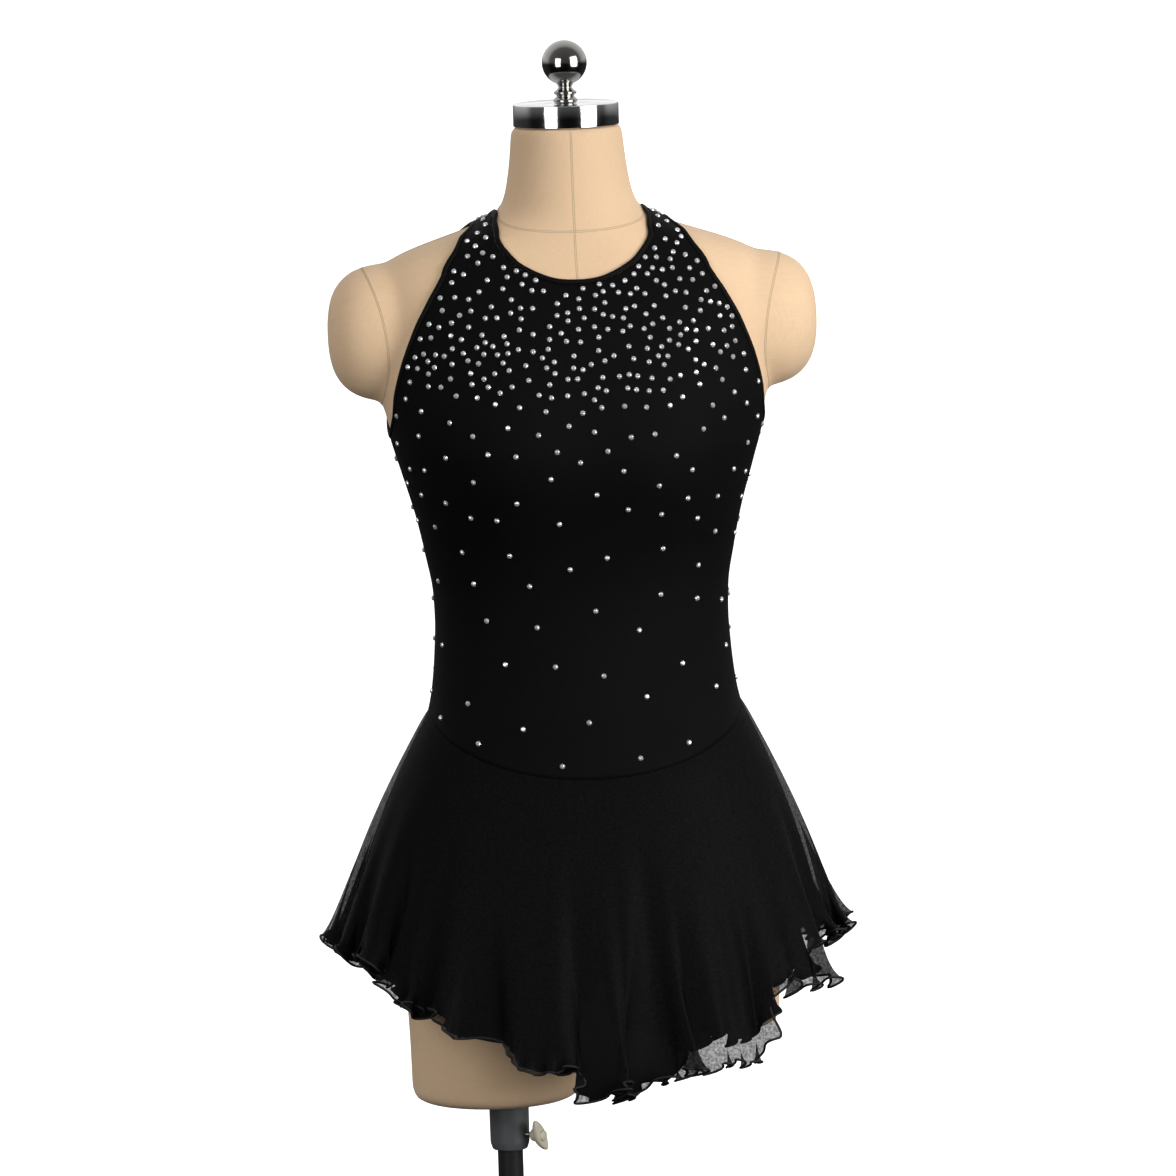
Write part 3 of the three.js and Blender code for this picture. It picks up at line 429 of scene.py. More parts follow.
def plate_point(side, share, angle):
    """An arm plate's points: upright ovals that shrink as a rounded end does,
    from the trunk, share 0, to the tip, share 1; the angle is 0 at its back."""
    size = np.maximum(1 - np.maximum(share, 0) ** 2.8, 0) ** (1 / 2.8)
    x = FORM_X + side * (PLATE_MIDDLE[0] + share * PLATE_REACH[0])
    y = PLATE_MIDDLE[1] + side * PLATE_REACH[1] * size * np.cos(angle)
    z = PLATE_MIDDLE[2] + PLATE_REACH[2] * size * np.sin(angle)
    return points_from(x, y, z)


def plate_rings(side):
    """Ovals from inside the trunk to the tip, closer together near the tip."""
    share = np.concatenate([np.linspace(-0.2, 0.6, 14), np.sin(np.linspace(0.68, np.pi / 2, 22))])
    return plate_point(side, share[:, None], whole_turn(96)[None, :])


THREAD_PITCH = 0.0009


def linen_weave(place, _):
    """Plain weave with slubs, laid round and up the form: threads cross at each
    pitch, and thicker ones show as long faint streaks."""
    x, y, z = place.split()
    round_it = place.math("ARCTAN2", x - FORM_X, y * -1.0) * 0.13  # as a length, at a middling radius
    across = place.math("SINE", round_it * (TAU / THREAD_PITCH))
    upward = place.math("SINE", z * (TAU / THREAD_PITCH))
    laid = place.add("ShaderNodeCombineXYZ", {}, {0: round_it, 1: z * 12.0, 2: 0.0})()
    crossed = place.add("ShaderNodeCombineXYZ", {}, {0: round_it * 12.0, 1: z, 2: 3.0})()
    slub = noise(laid, 90.0, 2.0) * 0.5 + noise(crossed, 90.0, 2.0) * 0.5
    cloud = noise(place, 9.0, 2.0)
    weave = across * upward * 0.5 + 0.5
    tone = weave * 0.18 + slub * 0.7 + cloud * 0.22 - 0.1
    return {
        "Base Color": blend_colour(place, tone, (0.69, 0.465, 0.275), (0.93, 0.68, 0.44)),
        "Normal": bump(place, weave * 0.55 + slub * 0.9, 0.00022, 0.8),
        "Roughness": slub * 0.2 + 0.72,
    }


linen = finish("oatmeal linen", {"Sheen Weight": 0.12, "Sheen Roughness": 0.5}, linen_weave)


def joined(*solids):
    """Several closed solids in one list of points and cells."""
    starts = np.cumsum([0] + [len(points) for points, _ in solids])
    cells = np.vstack([cells + start for (_, cells), start in zip(solids, starts)])
    return np.vstack([points for points, _ in solids]), cells


def settled(item, *modifiers):
    """Gives a piece the shape that its modifiers make, and leaves none on it."""
    for kind, settings in modifiers:
        modifier = item.modifiers.new(kind.lower(), kind)
        for key, value in settings.items():
            setattr(modifier, key, value)
    seen = item.evaluated_get(bpy.context.evaluated_depsgraph_get())
    mesh = bpy.data.meshes.new_from_object(seen)
    item.modifiers.clear()
    old, item.data = item.data, mesh
    bpy.data.meshes.remove(old)
    mesh.polygons.foreach_set("use_smooth", np.ones(len(mesh.polygons), bool))
    return item


LEFT_THIGH_FOOT, RIGHT_THIGH_FOOT = 450 * MM, 507 * MM
form_parts = [
    trunk_rings(), thigh_rings(-1, LEFT_THIGH_FOOT), thigh_rings(1, RIGHT_THIGH_FOOT),
    plate_rings(-1), plate_rings(1),
]
form_body = piece("linen_form", *joined(*map(closed_rings, form_parts)), linen, "linen", "form", weld=True)
settled(
    form_body,
    ("REMESH", {"mode": "VOXEL", "voxel_size": 0.0036}),
    ("SMOOTH", {"factor": 0.5, "iterations": 14}),
)
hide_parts("form_body")


# ---------------- seams in the linen
# The linen skin is sewn from panels: seams down the centre front and back, round
# the neck's base, over both shoulders and round each arm plate, pressed open.
def painted_seam_shade(place, _):
    """The linen's colour, darkened along the seam: painted shade in its groove."""
    return {"Base Color": blend_colour(place, noise(place, 700.0), (0.46, 0.32, 0.195), (0.62, 0.46, 0.3))}


# Painted shade: the seam strips are coloured darker than the linen for the shade in their grooves.
seam_shade_material = finish("linen seam", {"Roughness": 0.85}, painted_seam_shade)
SEAM_ACROSS = np.array([-1.5, -1.0, -0.55, -0.18, 0.18, 0.55, 1.0, 1.5]) * MM
SEAM_RISE = np.array([-0.45, 0.02, 0.3, -0.12, -0.12, 0.3, 0.02, -0.45]) * MM


def seam_strip(name, path, outward):
    """A narrow strip laid along a path and drawn onto the linen, raised on both
    sides of its middle line, where the stitches pull it down."""
    across = unit(np.cross(np.gradient(path, axis=0), outward))
    points = path[:, None] + across[:, None] * SEAM_ACROSS[None, :, None]
    cells = grid_cells(len(path), len(SEAM_ACROSS))[:, ::-1]
    strip = piece(name, points.reshape(-1, 3), cells, seam_shade_material, "linen", "form")
    settled(strip, ("SHRINKWRAP", {"target": form_body, "wrap_method": "NEAREST_SURFACEPOINT"}))
    place, normal = np.zeros(points.size), np.zeros(points.size)
    strip.data.vertices.foreach_get("co", place)
    strip.data.vertices.foreach_get("normal", normal)
    normal = normal.reshape(-1, 3)
    outside = np.sign((normal * np.repeat(outward, len(SEAM_ACROSS), 0)).sum(1))
    rise = outside * np.tile(SEAM_RISE, len(path))
    strip.data.vertices.foreach_set("co", (place.reshape(-1, 3) + normal * rise[:, None]).ravel())
    strip.data.update()


def on_trunk(angle, z):
    """A path on the trunk and the outward directions along it."""
    angle, z = np.broadcast_arrays(angle, z)
    return form_point(angle, z) + FORM_PLACE, form_tangents(angle, z)[2]


seam_turn = np.linspace(0, TAU, 260)
neck_base_z = (1216.75 - 11.5 * np.cos(seam_turn) - 2.25 * np.cos(2 * seam_turn)) * MM  # lower in front
seam_strip("seam_neck_base", *on_trunk(seam_turn, neck_base_z))
seam_strip("seam_centre_front", *on_trunk(0.0, np.linspace(1.2885, 1.14, 120)))
seam_strip("seam_centre_back", *on_trunk(np.pi, np.linspace(1.2885, 1.06, 160)))
plate_share = 0.36 + 0.13 * np.sin(seam_turn) - 0.15 * np.cos(seam_turn) ** 2
for side, word in ((-1, "left"), (1, "right")):
    path = plate_point(side, plate_share, seam_turn)
    seam_strip(f"seam_plate_{word}", path, (path - (0, *PLATE_MIDDLE[1:])) * (0.0, 1.0, 1.0))
    seam_strip(f"seam_shoulder_{word}", *on_trunk(side * np.pi / 2, np.linspace(1.219, 1.1735, 90)))


# ---------------- neck cap, finial
# A chromed steel disc, with a low lip round its top, closes the neck. A ball
# finial turned from dark nickelled steel is screwed to its middle.
CAP_Z, CAP_RADIUS, CAP_LIP, CAP_DISH = 1289.3, 45.3, 1308.5, 1307.6
chrome = metal("polished chrome", (0.82, 0.83, 0.84), 60.0, 0.08, 0.05)
nickel = metal("dark nickel", (0.4, 0.39, 0.375), 80.0, 0.08, 0.07)
cap_profile = rounded([
    (0, CAP_Z), (CAP_RADIUS, CAP_Z), (CAP_RADIUS, CAP_LIP), (43.6, CAP_LIP), (42.6, CAP_DISH),
    (14, CAP_DISH), (12, CAP_LIP), (0, CAP_LIP),
], 0.9)
cap = turned_piece("cap_disc", cap_profile, 128, chrome, "chrome", "form", x=FORM_X)
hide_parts("neck_cap")
BALL_RADIUS, BALL_Z = 19.3, 1342.8
ball_angle = np.linspace(-66, 90, 40)[:-1] * DEGREE
ball = [(BALL_RADIUS * np.cos(a), BALL_Z + BALL_RADIUS * np.sin(a)) for a in ball_angle]
finial_foot = rounded([
    (0, 1308.8), (10.2, 1308.8), (10.6, 1311.2), (8.4, 1313.4), (7.2, 1314.4), (9.8, 1316.4), (9.8, 1318),
    (7, 1320.2), (5.4, 1322), ball[0],
], 1.2)
finial_profile = [*finial_foot, *ball[1:], (0, BALL_Z + BALL_RADIUS)]
finial = turned_piece("finial_ball", finial_profile, 72, nickel, "nickel", "form", x=FORM_X)
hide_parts("finial")


# ---------------- the bodice
# One front and one back cut from black four-way stretch knit, joined at the
# sides and shoulders, with a round neck and armholes cut in to the neck.
CLOTH_GAP, KNIT = 1 * MM, 1.2 * MM
BINDING_WIDTH, BINDING_WALL, EDGE_GAP = 4.5 * MM, 2 * MM, 0.5 * MM
QUARTER = np.pi / 2
SIDE_SEAM_ANGLE = 0.0026
FRONT_NECK = [(0, 1163), (20, 1165), (43, 1175), (57, 1188), (63, 1201), (63.5, 1210)]  # x, height
BACK_NECK = [
    (0, 1088), (22, 1091), (41, 1103), (51.5, 1123), (56.5, 1146), (59, 1163), (60.3, 1173), (61.3, 1181),
    (62.2, 1189), (63, 1197), (63, 1205),
]
ARMHOLE = [
    (157.5, 1048), (155.5, 1070), (149.5, 1095), (139, 1124), (125.5, 1150), (114.5, 1168), (104.5, 1185),
    (95, 1198),
]
BACK_ARMHOLE = [
    (157.5, 1048), (155, 1070), (148, 1095), (136, 1124), (122, 1150), (111, 1168), (100, 1184), (90, 1198),
]
NECK_RIDGE_X, ARM_RIDGE_X, ARMHOLE_BOTTOM_Z = 61 * MM, 84 * MM, 1031 * MM
WAIST_SIDE_Z, WAIST_FRONT_DROP, WAIST_BACK_DROP = 789 * MM, 51 * MM, 30 * MM
MEAN_RADIUS = 0.12  # turns angles round the form into lengths


def waist_height(angle):
    """The dropped waist seam: highest at the sides, lowest in front."""
    along = np.cos(angle)
    return WAIST_SIDE_Z - np.where(along > 0, WAIST_FRONT_DROP, WAIST_BACK_DROP) * np.abs(along) ** 1.5


def angle_at(x, z):
    """The angle round the form of a point at x on its front."""
    power = form_power(z)
    across = np.minimum(x / form_half(z), 1)
    return np.arctan2(across, (1 - across**power) ** (1 / power))


def ridge_height(x):
    """The height where the shoulder's ridge stands x from the form's axis."""
    z = np.linspace(1.172, 1.233, 4000)
    return float(np.interp(-x, -form_half(z), z))


def traced(points, pieces):
    """Nodes (angle, height) evenly spaced along a centripetal Catmull-Rom curve
    through a table's points; both its ends run level round the form."""
    flat = np.array(points, float) * (MEAN_RADIUS, 1)
    ends = [near * (-1, 1) + (2 * end[0], 0) for end, near in ((flat[0], flat[1]), (flat[-1], flat[-2]))]
    p = np.vstack([ends[0], flat, ends[1]])
    step = np.linalg.norm(np.diff(p, axis=0), axis=1) ** 0.5
    p0, p1, p2, p3 = p[:-3], p[1:-2], p[2:-1], p[3:]
    d0, d1, d2 = (s[:, None] for s in (step[:-2], step[1:-1], step[2:]))
    leave = ((p1 - p0) / d0 - (p2 - p0) / (d0 + d1) + (p2 - p1) / d1) * d1
    arrive = ((p2 - p1) / d1 - (p3 - p1) / (d1 + d2) + (p3 - p2) / d2) * d1
    t = np.linspace(0, 1, 60, endpoint=False)[None, :, None]
    hermite = [2 * t**3 - 3 * t**2 + 1, t**3 - 2 * t**2 + t, 3 * t**2 - 2 * t**3, t**3 - t**2]
    ways = sum(h * q[:, None] for h, q in zip(hermite, (p1, leave, p2, arrive))).reshape(-1, 2)
    ways = np.vstack([ways, flat[-1]])
    length = np.concatenate([[0], np.cumsum(np.linalg.norm(np.diff(ways, axis=0), axis=1))])
    angle, z = (np.interp(np.linspace(0, length[-1], pieces + 1), length, column) for column in ways.T)
    return points_from(angle / MEAN_RADIUS, z)


def from_table(rows):
    """Nodes from a table of x and height in mm."""
    x, z = np.array(rows, float).T * MM
    return list(zip(angle_at(x, z), z))


def to_back(nodes):
    """Nodes of the front carried to the back, or back again."""
    return nodes * (-1, 1) + (np.pi, 0)


def moved(angle, z, direction, distance):
    """Nodes moved along the form's surface, from its two tangents there."""
    around, upward, _ = form_tangents(angle, z)
    rr, ru, uu = ((a * b).sum(-1) for a, b in ((around, around), (around, upward), (upward, upward)))
    dr, du = (direction * around).sum(-1) * distance, (direction * upward).sum(-1) * distance
    area = rr * uu - ru * ru
    return points_from(angle + (dr * uu - du * ru) / area, z + (du * rr - dr * ru) / area)


def inset(loop, distance):
    """A closed loop of nodes moved along the form, to its own left as seen from
    outside for a positive distance."""
    along = unit(form_point(*np.roll(loop, -1, 0).T) - form_point(*np.roll(loop, 1, 0).T))
    left = unit(np.cross(form_tangents(*loop.T)[2], along))
    return moved(*loop.T, left, distance)


NECK_STEPS, ARM_STEPS, ARM_STEPS_BELOW_NECK = 60, 90, 30
neck_ridge, arm_ridge = (QUARTER, ridge_height(NECK_RIDGE_X)), (QUARTER, ridge_height(ARM_RIDGE_X))
front_neck = traced([*from_table(FRONT_NECK), neck_ridge], NECK_STEPS)
back_neck = to_back(traced([*from_table(BACK_NECK), neck_ridge], NECK_STEPS))[::-1]
half_neck = np.vstack([front_neck, back_neck[1:]])
neck_edge = np.vstack([half_neck, (half_neck[1:-1] * (-1, 1) + (TAU, 0))[::-1]])
front_arm = traced([(QUARTER, ARMHOLE_BOTTOM_Z), *from_table(ARMHOLE), arm_ridge], ARM_STEPS)
back_arm = to_back(traced([(QUARTER, ARMHOLE_BOTTOM_Z), *from_table(BACK_ARMHOLE), arm_ridge], ARM_STEPS))
arm_edge = np.vstack([front_arm, back_arm[::-1][1:-1]])
neck_seam = inset(neck_edge, -BINDING_WIDTH - EDGE_GAP)
arm_seam = inset(arm_edge, BINDING_WIDTH + EDGE_GAP)


def shell(points_out, points_in, cells):
    """A thin closed wall: the outer sheet, the inner one turned over, and a
    strip across every free edge."""
    count = len(points_out)
    edges = np.stack([cells, np.roll(cells, -1, 1)], -1).reshape(-1, 2)
    free = edges[~np.isin(edges[:, 0] * count + edges[:, 1], edges[:, 1] * count + edges[:, 0])]
    rim = np.stack([free[:, 1], free[:, 0], free[:, 0] + count, free[:, 1] + count], -1)
    return np.vstack([points_out, points_in]), np.vstack([cells, cells[:, ::-1] + count, rim])


BODICE_COLUMNS, BODY_ROWS = 54, 72  # columns in each half, rows below the armhole
PANELS = {  # share: how much of the centre line lies below the armhole's rows
    "front": {
        "centre": 0.0, "share": 0.72,
        "neck": neck_seam[: NECK_STEPS + 1],
        "arm": arm_seam[: ARM_STEPS + 1],
    },
    "back": {
        "centre": np.pi, "share": 0.76,
        "neck": to_back(neck_seam[NECK_STEPS: 2 * NECK_STEPS + 1])[::-1],
        "arm": to_back(np.vstack([arm_seam[ARM_STEPS:], arm_seam[:1]]))[::-1],
    },
}


def panel_nodes(centre, share, neck, arm):
    """A bodice panel's nodes and cells. Rows run from its centre line, and
    higher up its neckline, out to its side seam and armhole."""
    seam = QUARTER - SIDE_SEAM_ANGLE
    waist_in = waist_height(centre)
    middle = waist_in + (neck[0, 1] - waist_in) * share
    across = np.linspace(0, 1, BODICE_COLUMNS + 1)[None, :]
    lift = (np.arange(BODY_ROWS) / BODY_ROWS)[:, None]
    low_angle = np.broadcast_to(seam * across, (BODY_ROWS, BODICE_COLUMNS + 1))
    top = middle + (arm[0, 1] - middle) * across
    low_z = waist_height(centre + low_angle) * (1 - lift) + top * lift
    rise = np.arange(ARM_STEPS + 1)
    above = np.maximum(rise - ARM_STEPS_BELOW_NECK, 0)
    inner_angle = np.where(rise > ARM_STEPS_BELOW_NECK, np.minimum(neck[above, 0], seam), 0)
    centre_z = middle + (neck[0, 1] - middle) * np.minimum(rise / ARM_STEPS_BELOW_NECK, 1)
    inner_z = np.where(rise > ARM_STEPS_BELOW_NECK, neck[above, 1], centre_z)
    outer_angle = np.minimum(arm[:, 0], seam)
    high_angle = inner_angle[:, None] * (1 - across) + outer_angle[:, None] * across
    high_z = inner_z[:, None] * (1 - across) + arm[:, 1][:, None] * across
    angle, z = np.vstack([low_angle, high_angle]), np.vstack([low_z, high_z])
    right = np.arange(angle.size).reshape(angle.shape)
    left = right + angle.size
    on_centre = BODY_ROWS + ARM_STEPS_BELOW_NECK + 1  # both halves share these rows' first nodes
    left[:on_centre, 0] = right[:on_centre, 0]
    first, last = slice(None, -1), slice(1, None)
    cells = np.vstack([
        np.stack([nodes[:-1, a], nodes[:-1, b], nodes[1:, b], nodes[1:, a]], -1).reshape(-1, 4)
        for nodes, a, b in ((right, first, last), (left, last, first))])
    angle = centre + np.concatenate([angle.ravel(), -angle.ravel()])
    return angle, np.concatenate([z.ravel(), z.ravel()]), cells


def without_strays(points, cells, flat_map):
    """Drops points that no cell uses."""
    used, cells_left = np.unique(cells, return_inverse=True)
    return points[used], cells_left.reshape(cells.shape), flat_map[used]


WALE, COURSE = 0.0006, 0.0005


def knit_surface(place, flat):
    """Fine wales and courses, almost lost in black, with a faint cloudy
    unevenness."""
    across, up, _ = flat.split()
    wale = place.math("ABSOLUTE", place.math("SINE", across * (np.pi / WALE)))
    course = place.math("ABSOLUTE", place.math("SINE", up * (np.pi / COURSE) + wale * 1.2))
    cloud = noise(place, 30.0)
    tone = cloud * 0.5 + wale * 0.4
    return {
        "Base Color": blend_colour(place, tone, (0.0012, 0.0012, 0.0013), (0.0027, 0.0027, 0.003)),
        "Normal": bump(place, wale * 0.6 + course * 0.4, 0.00012),
        "Roughness": cloud * 0.15 + 0.62,
    }


knit = finish("black stretch knit", {"Specular IOR Level": 0.07}, knit_surface)
for side, panel in PANELS.items():
    angle, z, cells = panel_nodes(**panel)
    points, cells = shell(off_form(angle, z, CLOTH_GAP + KNIT), off_form(angle, z, CLOTH_GAP), cells)
    flat_map = np.tile(points_from(angle * MEAN_RADIUS, z), (2, 1))
    points, cells, flat_map = without_strays(points, cells, flat_map)
    piece(f"{side}_bodice", points, cells, knit, "knit", "form", flat_map=flat_map)
    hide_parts(f"bodice_{side}")


# ---------------- the bindings
# Flat black elastic folded over the edges of the neck and both armholes and sewn
# to the knit. Each is one closed band, flat beneath and domed above.
def elastic_surface(place, _):
    """Fine uneven ribs."""
    rib = noise(place, 1400.0, 1.0)
    return {
        "Base Color": blend_colour(place, rib, (0.002, 0.002, 0.0022), (0.0045, 0.0045, 0.005)),
        "Normal": bump(place, rib, 0.00008),
        "Roughness": rib * 0.2 + 0.55,
    }


elastic = finish("black binding elastic", {"Specular IOR Level": 0.08}, elastic_surface)
SECTION = 9  # points across each face of a binding


def binding(name, node, edge, left, mirror):
    """A closed band round an opening. Its section is flat below and domed above,
    carried along the nodes between the seam and the finished edge, which lies
    to the seam's left for 1 and to its right for -1. Returns its length too."""
    seam = inset(edge, left * BINDING_WIDTH)
    across = np.linspace(0, 1, SECTION)
    dome = (1 - np.abs(2 * across - 1) ** 3.5) ** 0.5
    share = np.concatenate([across, across[::-1]])[None, :, None]
    rise = CLOTH_GAP + BINDING_WALL * np.concatenate([0.12 * (1 - dome), (0.18 + 0.82 * dome)[::-1]])
    nodes = seam[:, None] * (1 - share) + edge[:, None] * share
    points = off_form(mirror * nodes[..., 0], nodes[..., 1], rise)
    rows = np.vstack([points, points[:1]])
    cells = grid_cells(*rows.shape[:2], around=True)
    if (left > 0) != (mirror > 0):
        cells = cells[:, ::-1]
    band = piece(name, rows.reshape(-1, 3), cells, elastic, "elastic", "form", weld=True)
    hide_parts(node)
    length = np.linalg.norm(np.diff(rows[:, 0], axis=0), axis=1).sum()
    return band, float(length)


BINDINGS = [  # piece, node, finished edge, which side of the seam it lies on, mirror
    ("neck_elastic", "neck_binding", neck_edge, -1, 1),
    ("armhole_elastic_right", "armhole_binding_right", arm_edge, 1, 1),
    ("armhole_elastic_left", "armhole_binding_left", arm_edge, 1, -1),
]
for row in BINDINGS:
    band, length = binding(*row)


# ---------------- the briefs
# Black knit briefs sewn into the waist seam under the skirt, cut high at the
# sides and low at the gusset, and drawn close to the hips.
GUSSET_HALF, GUSSET_Z, LEG_SIDE_Z = 34 * MM, 611 * MM, 672 * MM
BRIEFS_COLUMNS, BRIEFS_ROWS = 120, 44


def leg_line(angle, back):
    """The height of the leg opening's edge: level under the gusset, then a
    quarter wave up to the side in front, and a slower rise behind."""
    hip_half = form_half(0.65)
    share = np.clip((np.abs(hip_half * np.sin(angle)) - GUSSET_HALF) / (hip_half - GUSSET_HALF), 0, 1)
    curve = share**1.7 if back else np.sin(share * np.pi / 2)
    return GUSSET_Z + (LEG_SIDE_Z - GUSSET_Z) * curve


for side, centre, area in (("front", 0.0, 0.052), ("back", np.pi, 0.066)):
    half = QUARTER - SIDE_SEAM_ANGLE
    angle = np.linspace(centre - half, centre + half, BRIEFS_COLUMNS)[None, :]
    low, top = leg_line(angle, side == "back"), waist_height(angle) - 0.2 * MM
    z = low + (top - low) * np.linspace(0, 1, BRIEFS_ROWS)[:, None]
    points = off_form(angle, z, 20 * MM).reshape(-1, 3)  # clear of the thighs before it is drawn in
    flat_map = points_from(angle * MEAN_RADIUS, z).reshape(-1, 2)
    cells = grid_cells(BRIEFS_ROWS, BRIEFS_COLUMNS)
    briefs = piece(f"{side}_briefs", points, cells, knit, "knit", "form", flat_map=flat_map)
    settled(
        briefs,
        ("SHRINKWRAP", {"target": form_body, "wrap_mode": "OUTSIDE_SURFACE", "offset": 0.5 * MM}),
        ("SOLIDIFY", {"thickness": 0.7 * MM, "offset": 1.0}),
    )
    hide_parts(f"briefs_{side}")


# ---------------- the skirt
# Two flared layers of black chiffon hang from the dropped waist seam, a sheer one
# over a closely woven one. Each is cut much wider than the hips, so it falls in
# deep folds, and its edge is rolled with thread while stretched, so it ripples.
SEAM_GAP, CHIFFON = 0.3 * MM, 1.3 * MM
FLARE = np.array([  # degrees from the centre front towards +X, how far out for each step down
    (-180, 0.54), (-150, 0.57), (-120, 0.53), (-90, 0.445), (-60, 0.42), (-30, 0.38), (0, 0.36), (30, 0.38),
    (60, 0.405), (90, 0.4), (120, 0.51), (150, 0.57), (180, 0.54),
])
HEM = np.array([  # degrees from the centre front towards +X, height of the outer hem and the inner one, mm
    (-180, 498, 494), (-150, 520, 520), (-120, 572, 566), (-90, 590, 579), (-76, 588, 577), (-66, 586, 574),
    (-60, 581, 566), (-56, 569, 556), (-50, 558, 549), (-46, 553, 546), (-41, 550, 543), (-38, 540, 534),
    (-34, 532, 527), (-27, 527, 522), (-24, 518, 514), (-21, 508, 505), (-16, 503, 501), (-9.5, 502, 500),
    (-7.5, 487, 481), (-2, 484, 476), (4, 486, 478), (10, 486, 480), (12.5, 489, 484), (15.5, 493, 516),
    (19, 499, 517), (30, 500, 518), (39, 514, 518), (42, 552, 532), (44.5, 560, 560), (49, 557, 564),
    (56, 553, 562), (61, 558, 567), (65, 580, 588), (76, 586, 590), (90, 587, 591), (120, 572, 575),
    (150, 520, 516), (180, 498, 494),
])
FOLDS = np.array([  # degrees, depth in mm, spread in degrees, share of the fall where it starts, lean
    (-8.5, 15, 3.4, 0.15, 0.6), (3.5, 14, 3.2, 0.2, 0.8), (11, 24, 3.6, 0.12, -0.9), (18, 12, 2.6, 0.3, 0.7),
    (28, 11, 3.4, 0.3, 0.35), (-31, 12, 4.5, 0.3, -0.5), (-58, 13, 5, 0.2, 0.6), (35.5, 12, 3.0, 0.25, 0.5),
    (66, 15, 4.5, 0.2, -0.5), (-84, 10, 4, 0.35, 0.5), (96, 13, 4.5, 0.25, 0.6), (118, 17, 5, 0.2, -0.7),
    (139, 12, 4, 0.3, 0.5), (160, 20, 4.6, 0.14, -0.7), (183, 14, 4, 0.22, 0.7), (204, 23, 4.8, 0.13, -0.6),
    (228, 12, 4.2, 0.3, 0.6), (250, 16, 4.8, 0.2, -0.7),
])
outer_hem, inner_hem = table_curves(HEM * (1, MM, MM))
LAYERS = {  # mm off the form, mm drawn in at the hem; waves in a turn, their phase, mm high; seed; hem
    "outer": (3.0, 0, 27, 0.4, 5.5, 3, outer_hem),
    "inner": (1.2, 17, 25, 2.1, 4.5, 8, inner_hem),
}
HEM_LIFT, OVERHANG, PLEAT, BULGE = 4.5 * MM, 5 * MM, 11 * MM, 7 * MM
RIPPLES, RIPPLE_REACH = 74, 10 * MM  # how many in a turn, and how far up from the hem they die away
RIPPLE_OUT, RIPPLE_ASIDE, RIPPLE_UP = 4 * MM, 2.6 * MM, 3 * MM
RIPPLING = np.array([  # degrees, how strongly the hems ripple there
    (-180, 1), (-60, 1.2), (-46, 1.1), (-36, 0.4), (-27, 0.2), (-17, 0.4), (-8, 1.1), (4, 1.7), (16, 1.6),
    (28, 1), (48, 1.4), (80, 1.3), (180, 1),
])
TUCK = 1.2 * MM  # how far a layer's seam allowance reaches up under the bodice's edge
SEAM_STAND = 1.9 * MM  # how far off the form both layers leave the seam
(flare_out,), (rippling_at,) = table_curves(FLARE), table_curves(RIPPLING)


def turn_between(a, b):
    """The turn between two directions in degrees, from -180 to 180."""
    return (a - b + 180) % 360 - 180


def smooth_step(low, high, value):
    """A share that eases from 0 at the low value to 1 at the high one."""
    t = np.clip((value - low) / (high - low), 0, 1)
    return t * t * (3 - 2 * t)


def wander(angle, seed, reach):
    """A smooth seeded wobble round the form: a sum of seven slow sines."""
    draw = np.random.default_rng(seed)
    phases, weights = draw.uniform(0, TAU, 7), draw.uniform(0.4, 1, 7)
    waves = np.sin(np.arange(3, 10) * angle[..., None] + phases) * weights
    return reach * waves.sum(-1) / 2.4


def skirt_point(angle, fall, stand_off, draw_in, waves, phase, height, seed, hem):
    """A skirt layer's points: down a flared line from the waist seam, drawn in
    at the deep folds, which lean over sideways as knife pleats do, pushed out
    and in by ruffle waves that overhang near the hem, and rippled close to it
    as a stretched, rolled edge is."""
    degrees = angle / DEGREE
    signed = turn_between(degrees, 0)
    top = waist_height(angle) - SEAM_GAP / 2
    tucked = TUCK * np.exp(-fall * 200)
    reach = top - hem(signed)
    drop = fall * reach
    swell = waves * angle + phase + wander(angle, seed + 40, 0.9)
    rippling = rippling_at(signed)
    lively = np.minimum(rippling, 1) * (1 + wander(angle, seed + 60, 0.5))
    out = flare_out(signed) * drop + BULGE * np.sin(np.pi * fall) - draw_in * MM * fall**1.5
    out = out + height * MM * lively * np.sin(swell) * fall**3
    aside = -OVERHANG * lively * np.sin(2 * swell) * fall**5
    for at, depth, spread, start, lean in FOLDS:
        share = smooth_step(start, 1.15, fall)
        t = turn_between(degrees, at) / spread
        out = out - depth * MM * share * (np.exp(-t * t) + 0.45 * t * np.exp(-t * t / 2))
        aside = aside - lean * PLEAT * spread * share**2 * t * np.exp(-t * t)
    ripple = RIPPLES * angle + wander(angle, seed, 5)
    size = rippling * (1.2 + wander(angle, seed + 20, 0.5)) * np.exp(-(1 - fall) * reach / RIPPLE_REACH)
    out = out + RIPPLE_OUT * size * np.sin(ripple)
    aside = aside - RIPPLE_ASIDE * size * np.sin(2 * ripple)
    lift = HEM_LIFT * lively * np.sin(swell + 0.5) * fall**6 + RIPPLE_UP * size * np.sin(ripple + 0.6)
    around = form_tangents(angle, top)[0]
    level = unit(points_from(around[..., 1], -around[..., 0], 0))
    sideways = points_from(-level[..., 1], level[..., 0], 0)
    mixed = unit(points_from(np.sin(angle), -np.cos(angle), 0) + level)
    full_stand = stand_off * MM + CHIFFON / 2
    stand = full_stand + (SEAM_STAND - full_stand) * np.exp(-drop / (3 * MM))
    points = form_point(angle, top) + level * stand[..., None] + mixed * out[..., None]
    points = points + sideways * aside[..., None] + FORM_PLACE
    points[..., 2] = top - drop + lift + tucked
    return points


def crepe(thinnest, spread):
    """Sheer crepe weave: light comes through between its threads, and their
    uneven twist mottles how much."""
    def surface(place, _):
        mottle = noise(place, 420.0, 2.0)
        cloud = noise(place, 60.0, 2.0)
        return {
            "Base Color": blend_colour(place, mottle, (0.0016, 0.0016, 0.0018), (0.0045, 0.0045, 0.0052)),
            "Alpha": (mottle * 0.85 + cloud * 0.15) * spread + thinnest,
            "Normal": bump(place, mottle, 0.0002, 0.7),
        }
    return surface


